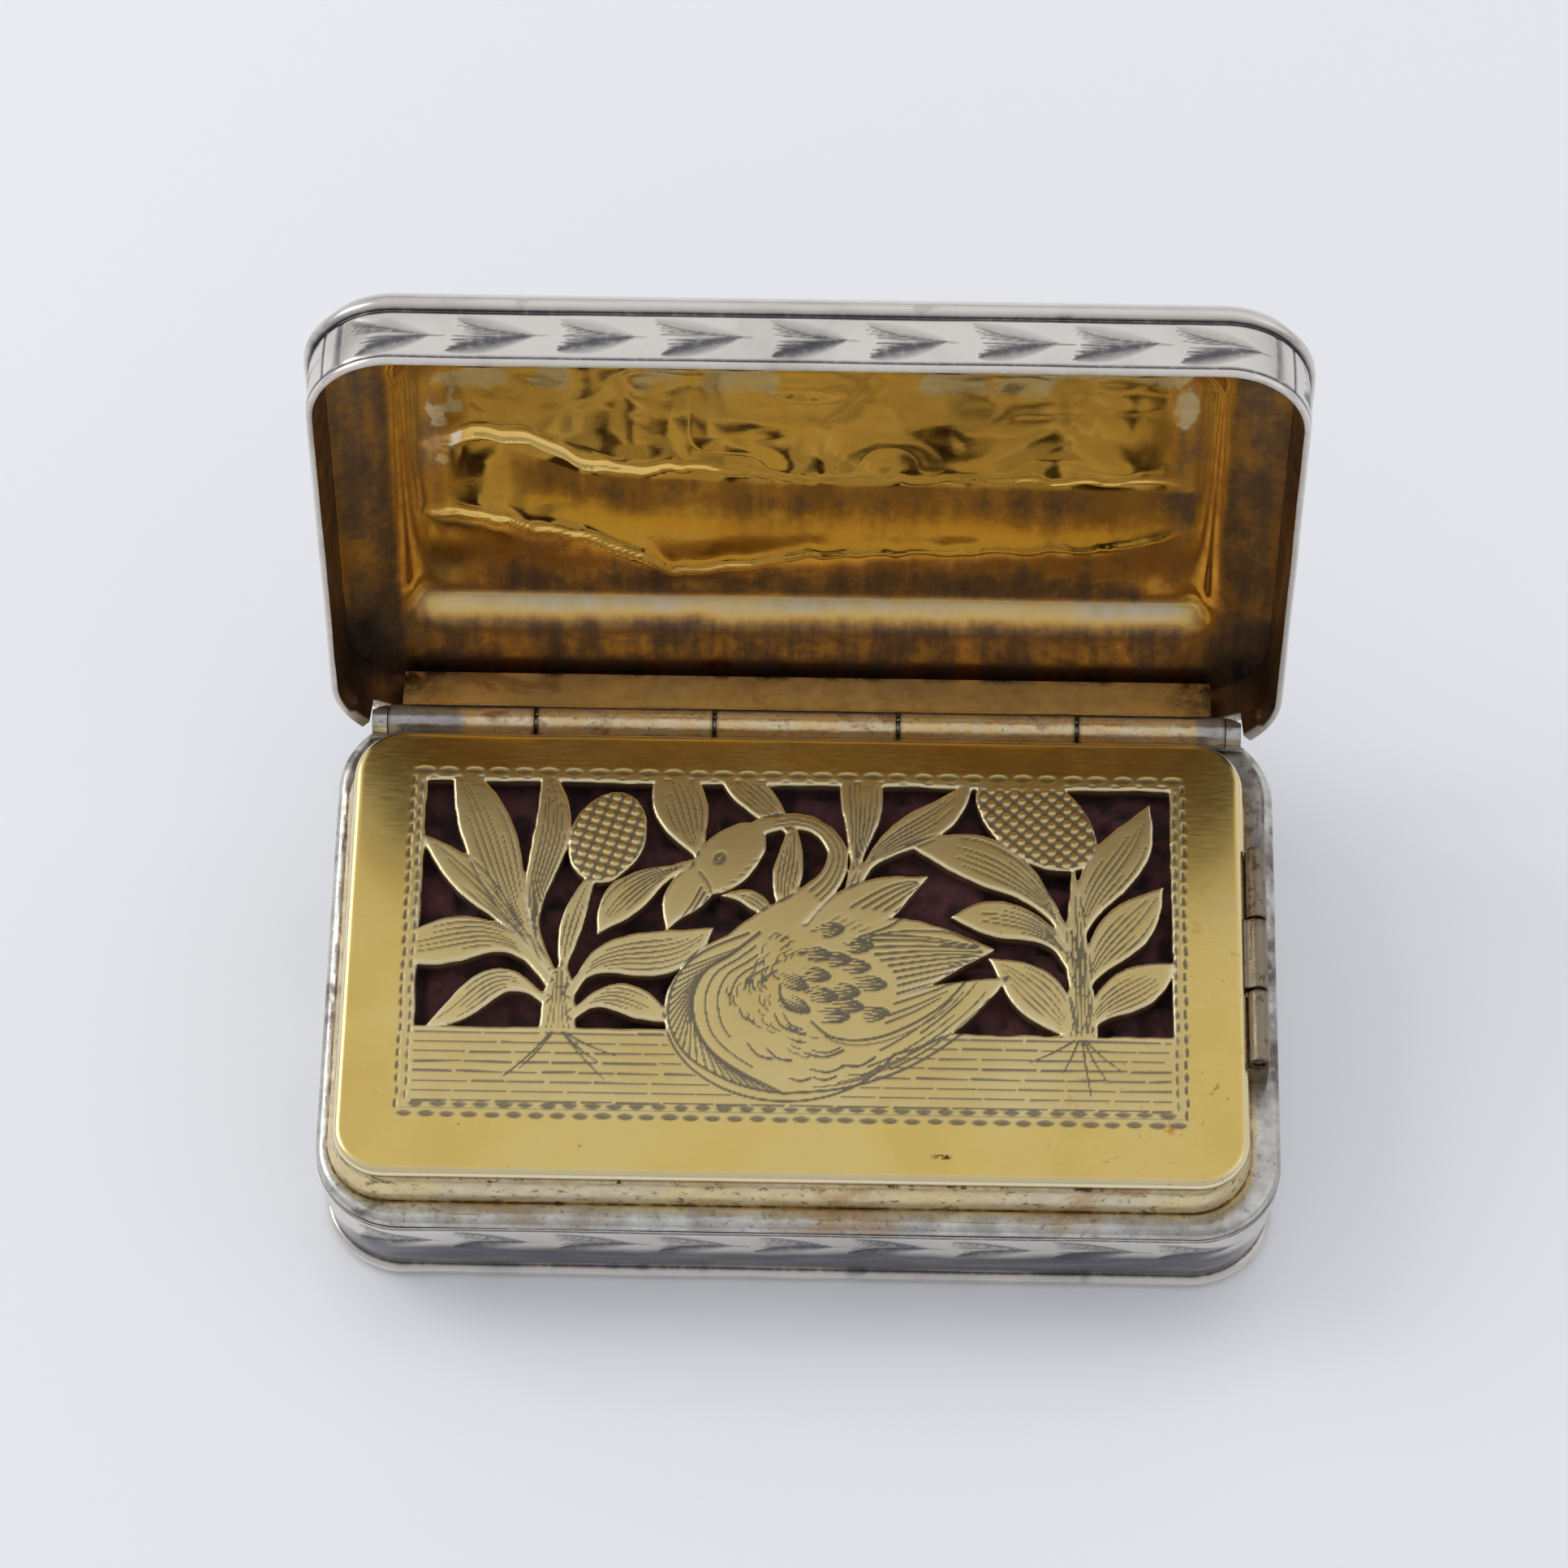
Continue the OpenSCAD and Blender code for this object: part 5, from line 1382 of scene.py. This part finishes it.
def grille_plate():
    h = 0.068
    g = Sheet(-15.56, 15.51, -7.62, 8.12, h)
    engrave(g)
    d = g.d
    small = np.abs(d) < 0.12 * h
    d[small] = np.where(d[small] >= 0, 0.12 * h, -0.12 * h)
    solid = d > 0
    ny, nx = d.shape
    r = 0.10

    def height(dd):
        dd = np.clip(dd, 0, r)
        return -r + np.sqrt(np.clip(r * r - (r - dd) ** 2, 0, None))

    top = height(d) - g.cut + g.rise
    ids = np.full(d.shape, -1)
    ids[solid] = np.arange(solid.sum())
    verts = [np.c_[g.X[solid], g.Y[solid], top[solid]]]
    line = [g.line[solid]]
    dist = [np.minimum(d[solid], 1.0)]
    count = int(solid.sum())
    # points on grid edges that cross the contour
    ex = np.full((ny, nx - 1), -1)
    cr = solid[:, 1:] != solid[:, :-1]
    t = d[:, :-1][cr] / (d[:, :-1][cr] - d[:, 1:][cr])
    ex[cr] = count + np.arange(cr.sum())
    verts.append(np.c_[g.X[:, :-1][cr] + t * h * (g.x[1] - g.x[0]) / h, g.Y[:, :-1][cr], np.full(cr.sum(), -r)])
    count += int(cr.sum())
    ey = np.full((ny - 1, nx), -1)
    cy = solid[1:, :] != solid[:-1, :]
    t = d[:-1, :][cy] / (d[:-1, :][cy] - d[1:, :][cy])
    ey[cy] = count + np.arange(cy.sum())
    verts.append(np.c_[g.X[:-1, :][cy], g.Y[:-1, :][cy] + t * (g.y[1] - g.y[0]), np.full(cy.sum(), -r)])
    n_edge = int(cr.sum() + cy.sum())
    first_edge = int(solid.sum())
    line += [np.zeros(n_edge)]
    dist += [np.zeros(n_edge)]
    c = [ids[:-1, :-1], ids[:-1, 1:], ids[1:, 1:], ids[1:, :-1]]
    e = [ex[:-1, :], ey[:, 1:], ex[1:, :], ey[:, :-1]]
    s = [solid[:-1, :-1], solid[:-1, 1:], solid[1:, 1:], solid[1:, :-1]]
    case = s[0] * 1 + s[1] * 2 + s[2] * 4 + s[3] * 8
    quads = np.stack([k[case == 15] for k in c], -1)
    tris, segs = [], []
    for code in range(1, 15):
        on = case == code
        if not on.any():
            continue
        walk = []
        for k in range(4):
            here, there = bool(code >> k & 1), bool(code >> ((k + 1) % 4) & 1)
            if here:
                walk.append(c[k][on])
            if here != there:
                walk.append(e[k][on])
        names = []
        for k in range(4):
            here, there = bool(code >> k & 1), bool(code >> ((k + 1) % 4) & 1)
            if here:
                names.append("c")
            if here and not there:
                names.append("out")
            if there and not here:
                names.append("in")
        for k in range(1, len(walk) - 1):
            tris.append(np.stack([walk[0], walk[k], walk[k + 1]], -1))
        for k in range(len(walk)):
            q = (k + 1) % len(walk)
            if names[k] == "out" and names[q] == "in":
                segs.append(np.stack([walk[k], walk[q]], -1))
    tris = np.concatenate(tris)
    segs = np.concatenate(segs)
    v = np.concatenate(verts)
    line = np.concatenate(line)
    dist = np.concatenate(dist)

    # the plain margin, from the engraved grid out to the rounded edge
    by, bx = ny - 1, nx - 1
    border = np.concatenate([
        ids[0, :bx], ids[:by, bx], ids[by, bx:0:-1], ids[by:0:-1, 0]])
    nb = len(border)
    px0, px1, py0, py1, pr = PLATE
    sizes = (bx, by, bx, by)
    path, nor = rrect(px0, px1, py0, py1, pr, nl=400, ns=220, nc=40)
    seg = np.r_[0, np.cumsum(np.hypot(*(np.roll(path, -1, 0) - path).T))]
    closed = np.concatenate([path, path[:1]])
    cn = np.concatenate([nor, nor[:1]])
    mids = []
    for ang in (225, 315, 45, 135):
        w = np.array([math.cos(math.radians(ang)), math.sin(math.radians(ang))])
        mids.append(seg[:-1][np.argmax(nor @ w)])
    total = seg[-1]
    want = []
    for k in range(4):
        a, b = mids[k], mids[(k + 1) % 4]
        if b <= a:
            b += total
        want.append((a + (b - a) * np.arange(sizes[k]) / sizes[k]) % total)
    want = np.concatenate(want)
    out_p = np.c_[np.interp(want, seg, closed[:, 0]), np.interp(want, seg, closed[:, 1])]
    out_n = np.c_[np.interp(want, seg, cn[:, 0]), np.interp(want, seg, cn[:, 1])]
    out_n /= np.hypot(out_n[:, 0], out_n[:, 1])[:, None]
    out_p -= FIELD_SHIFT                        # the grid is drawn before its shift
    er = 0.32
    inner = v[border, :2]
    edge_in = out_p - out_n * er
    ring_v, ring_edge = [], []
    for q in (0.08, 0.3, 0.55, 0.8, 0.95, 1.0):
        xy = inner * (1 - q) + edge_in * q
        ring_v.append(np.c_[xy, 0.012 * fbm(xy, 3.0, 2, 77) * smooth(0, .3, q) * smooth(1.0, 0.9, q)])
        ring_edge.append(np.full(nb, 0.0))
    # the rounded outer edge turns pale as it turns over: painted highlight
    for a in np.radians([15, 30, 45, 60, 75, 90]):
        ring_v.append(np.c_[out_p - out_n * er * (1 - math.sin(a)), np.full(nb, -er * (1 - math.cos(a)))])
        ring_edge.append(np.full(nb, math.sin(a)))
    low = PLATE_Z0 - PLATE_Z1
    ring_v.append(np.c_[out_p, np.full(nb, low + 0.05)])
    ring_edge.append(np.full(nb, 0.2))
    ring_v.append(np.c_[out_p - out_n * 0.05, np.full(nb, low)])
    ring_edge.append(np.full(nb, 0.0))
    at = len(v)
    rings = len(ring_v)
    v = np.concatenate([v] + ring_v)
    # pale near the rounded edges of the openings: painted highlight
    edge = np.r_[0.9 * np.exp(-dist / 0.11), np.concatenate(ring_edge)]
    line = np.r_[line, np.zeros(rings * nb)]
    rows = [border] + [at + k * nb + np.arange(nb) for k in range(rings)]
    ring_q = []
    for a, b in zip(rows[:-1], rows[1:]):
        ring_q.append(np.stack([a, b, np.roll(b, -1), np.roll(a, -1)], -1))
    quads = np.concatenate([quads] + ring_q)

    # sawn walls of the openwork down to the underside
    down = len(v)
    v = np.concatenate([v, np.c_[v[first_edge:first_edge + n_edge, :2], np.full(n_edge, low)]])
    line = np.r_[line, np.full(n_edge, 0.6)]
    edge = np.r_[edge, np.zeros(n_edge)]
    lowid = lambda k: k - first_edge + down
    quads = np.concatenate([quads, np.stack([lowid(segs[:, 0]), lowid(segs[:, 1]), segs[:, 1], segs[:, 0]], -1)])
    # underside: flat, with the same openings
    outer_loop = rows[-1]
    used = np.concatenate([outer_loop, lowid(np.unique(segs))])
    back = {int(k): i for i, k in enumerate(used)}
    cons = [(back[int(a)], back[int(b)]) for a, b in zip(outer_loop, np.roll(outer_loop, -1))]
    cons += [(back[int(lowid(a))], back[int(lowid(b))]) for a, b in segs]
    co2 = [Vector((float(x), float(y))) for x, y in v[used, :2]]
    res = geometry.delaunay_2d_cdt(co2, cons, [], 0, 1e-7)
    nv, nf, origin = res[0], res[2], res[3]
    remap = []
    extra = []
    for i, o in enumerate(origin):
        if o:
            remap.append(int(used[o[0]]))
        else:
            remap.append(len(v) + len(extra))
            extra.append((nv[i].x, nv[i].y, low))
    if extra:
        v = np.concatenate([v, np.array(extra)])
        line = np.r_[line, np.zeros(len(extra))]
        edge = np.r_[edge, np.zeros(len(extra))]
    flat = np.array([(p.x, p.y) for p in nv])
    faces = np.array(nf)
    mid = flat[faces].mean(1)
    # keep the triangles whose middle is on metal: off the grid, or inside its contour
    fx = np.clip((mid[:, 0] - g.x[0]) / (g.x[1] - g.x[0]), 0, nx - 1.001)
    fy = np.clip((mid[:, 1] - g.y[0]) / (g.y[1] - g.y[0]), 0, ny - 1.001)
    i, j = fx.astype(int), fy.astype(int)
    u, w = fx - i, fy - j
    here = d[j, i] * (1 - u) * (1 - w) + d[j, i + 1] * u * (1 - w) + d[j + 1, i] * (1 - u) * w + d[j + 1, i + 1] * u * w
    under = np.array(remap)[faces[here > 0]][:, ::-1]
    tris = np.concatenate([tris, under])
    inside = np.minimum(np.minimum(v[:, 0] + 15.5, 15.45 - v[:, 0]), np.minimum(v[:, 1] + 7.55, 8.05 - v[:, 1]))
    dull = smooth(-0.1, 0.5, inside)
    v = v + np.array([FIELD_SHIFT[0], FIELD_SHIFT[1], PLATE_Z1])
    ob = make("grille_plate_engraved", v, quads, tris, [GRILLE], None, {"line": line, "edge": edge, "dull": dull}, sharp=75)
    return place(ob, "grille", "grille_gilt", "grille_plate")


# ------------------------------------------------------------- the sponge

def sponge():
    lo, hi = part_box("sponge")
    lo, hi = np.array(lo) * 1000, np.array(hi) * 1000
    c = (lo + hi) / 2
    half = (hi - lo) / 2 - 0.06
    # a rounded block: top sheet, sides and flat bottom from one loft of rounded rectangles
    rows = []
    kw = dict(nl=120, ns=64, nc=14)
    prof = [(1.2, 0.0), (0.5, 0.05), (0.12, 0.3), (0.0, 0.8)] + [(0.0, z) for z in np.linspace(1.2, 2 * half[2] - 1.0, 14)]
    prof += [(0.5 * (1 - math.cos(a)), 2 * half[2] - 0.6 + 0.6 * math.sin(a)) for a in np.radians([25, 50, 70, 90])]
    prof += [(i, 2 * half[2]) for i in np.linspace(0.5, half[1] - 0.15, 42)[1:]]
    for i, z in prof:
        q, _ = rrect(c[0] - half[0] + i, c[0] + half[0] - i, c[1] - half[1] + i, c[1] + half[1] - i, max(1.5 - 0.16 * i, 0.1), **kw)
        rows.append(np.c_[q, np.full(len(q), lo[2] + 0.06 + z)])
    n = len(rows[0])
    v = np.concatenate(rows)
    # 'pore' marks the pits, pushed in below and painted nearly black in the material as painted shade
    pore = smooth(0.18, 0.5, lattice(v, 0.75, 91)) * 0.8 + smooth(0.3, 0.6, lattice(v, 0.4, 92)) * 0.5
    lump = fbm(v, 3.0, 3, 93)
    move = 0.12 * lump - 0.30 * pore
    cen = np.array([c[0], c[1], c[2]])
    up = smooth(hi[2] - 0.8, hi[2] - 0.3, v[:, 2])
    dirs = np.c_[v[:, 0] - c[0], v[:, 1] - c[1], np.zeros(len(v))]
    dirs /= np.maximum(np.linalg.norm(dirs, axis=1), 1e-6)[:, None]
    dirs = dirs * (1 - up)[:, None] + np.array([0, 0, 1.0]) * up[:, None]
    free = smooth(lo[2] + 0.1, lo[2] + 0.6, v[:, 2])
    v += dirs * ((move - 0.1) * free)[:, None]
    v[:, 2] = np.clip(v[:, 2], lo[2] + 0.02, hi[2] - 0.02)
    ends = len(v)
    v = np.concatenate([v, [[c[0], c[1], lo[2] + 0.06], [c[0], c[1], hi[2] - 0.15]]])
    j = np.arange(n)
    last = (len(rows) - 1) * n
    tris = np.concatenate([np.stack([(j + 1) % n, j, np.full(n, ends)], -1), np.stack([last + j, last + (j + 1) % n, np.full(n, ends + 1)], -1)])
    ob = make("sponge_block", v, strips(len(rows), n), tris, [SPONGE], None, {"pore": np.r_[pore, 0, 0]}, sharp=0)
    place(ob, "base", "sponge", "sponge")
    return ob


base_wall()
thread("base_thread_wire", 0.52, "base", "base_thread")
rim_ledge()
bezel()
lid_wall()
thread("lid_thread_wire", 8.30, "lid", "lid_thread", True)
lid_top()
lid_bearer()
knuckles("base_hinge_knuckles", ((-16.9, -10.95), (-3.65, 3.65), (10.95, 16.9)), "base", "base_knuckles", 200)
knuckles("lid_hinge_knuckles", ((-10.85, -3.75), (3.75, 10.85)), "lid", "lid_knuckles", 300)
grille_hinge()
grille_plate()
sponge()

for name, material in (("base_plate", SILVER), ("base_hinge_bearer", BEZELMAT), ("lid_hinge_pin", STEEL), ("hinge_end_plugs", RIMMAT),
                       ("grille_hinge_bearer", SEAT), ("grille_hinge_pin", STEEL)):
    ob = NODES[name]
    ob.data.materials.clear()
    ob.data.materials.append(material)


# ------------------------------------------------ floor, light and camera

def floor():
    me = bpy.data.meshes.new("floor")
    s = 1.2
    me.from_pydata([(-s, -s, 0), (s, -s, 0), (s, s, 0), (-s, s, 0)], [], [(0, 1, 2, 3)])
    ob = bpy.data.objects.new("floor", me)
    bpy.context.scene.collection.objects.link(ob)
    m = bpy.data.materials.new("floor_pale")
    m.use_nodes = True
    b = m.node_tree.nodes["Principled BSDF"]
    b.inputs["Base Color"].default_value = (0.95, 0.96, 0.985, 1)
    b.inputs["Roughness"].default_value = 0.42
    me.materials.append(m)


def area(name, loc, target, size, energy, colour=(1, 1, 1)):
    l = bpy.data.lights.new(name, "AREA")
    l.shape = "RECTANGLE"
    l.size, l.size_y = size
    l.energy = energy
    l.color = colour
    ob = bpy.data.objects.new(name, l)
    ob.location = loc
    ob.rotation_euler = (Vector(target) - Vector(loc)).to_track_quat("-Z", "Y").to_euler()
    bpy.context.scene.collection.objects.link(ob)


def world():
    w = bpy.data.worlds.new("studio")
    bpy.context.scene.world = w
    w.use_nodes = True
    t = w.node_tree
    bg = t.nodes["Background"]
    tc = t.nodes.new("ShaderNodeTexCoord")
    sep = t.nodes.new("ShaderNodeSeparateXYZ")
    t.links.new(tc.outputs["Generated"], sep.inputs[0])
    up = t.nodes.new("ShaderNodeValToRGB")
    e = up.color_ramp.elements
    for _ in range(3):
        e.new(0.5)
    for el, (p, c) in zip(e, ((0.0, 0.45), (0.5, 0.62), (0.62, 0.85), (0.80, 1.0), (1.0, 0.90))):
        el.position = p
        el.color = (c * 0.97, c * 0.985, c * 1.03, 1)
    mp = t.nodes.new("ShaderNodeMapRange")
    mp.inputs["From Min"].default_value, mp.inputs["From Max"].default_value = -1, 1
    t.links.new(sep.outputs["Z"], mp.inputs["Value"])
    t.links.new(mp.outputs["Result"], up.inputs["Fac"])
    front = t.nodes.new("ShaderNodeMapRange")
    front.interpolation_type = "SMOOTHSTEP"
    for k, v in (("From Min", -0.75), ("From Max", 0.15), ("To Min", 0.72), ("To Max", 1.0)):
        front.inputs[k].default_value = v
    t.links.new(sep.outputs["Y"], front.inputs["Value"])
    mul = t.nodes.new("ShaderNodeMix")
    mul.data_type = "RGBA"
    mul.blend_type = "MULTIPLY"
    mul.inputs[0].default_value = 1.0
    t.links.new(up.outputs["Color"], mul.inputs[6])
    t.links.new(front.outputs["Result"], mul.inputs[7])
    t.links.new(mul.outputs[2], bg.inputs["Color"])
    bg.inputs["Strength"].default_value = 0.84


floor()
world()
area("key_rear_left", (-0.42, 0.16, 0.34), (-0.02, 0, 0.01), (0.34, 0.30), 0.75, (1.0, 0.985, 0.96))
area("fill_right", (0.40, -0.05, 0.30), (0, 0, 0.01), (0.25, 0.35), 0.05, (0.95, 0.97, 1.0))

az, el, roll, dist = math.radians(1.44), math.radians(61.27), math.radians(-0.35), 229.7
target = np.array([-0.858, 8.282, 5.4])
back = np.array([math.sin(az) * math.cos(el), -math.cos(az) * math.cos(el), math.sin(el)])
right = np.array([math.cos(az), math.sin(az), 0.0])
up = np.cross(back, right)
right, up = math.cos(roll) * right + math.sin(roll) * up, -math.sin(roll) * right + math.cos(roll) * up
cam = bpy.data.cameras.new("camera")
cam.sensor_fit = "HORIZONTAL"
cam.sensor_width = 36.0
cam.lens = 7026.8 / 1932 * 36
cam.clip_start, cam.clip_end = 0.01, 10
ob = bpy.data.objects.new("camera", cam)
bpy.context.scene.collection.objects.link(ob)
at = (target + dist * back) * 0.001
ob.matrix_world = Matrix(((right[0], up[0], back[0], at[0]), (right[1], up[1], back[1], at[1]), (right[2], up[2], back[2], at[2]), (0, 0, 0, 1)))
bpy.context.scene.camera = ob
bpy.context.scene.view_settings.view_transform = "Standard"

bpy.context.view_layer.update()
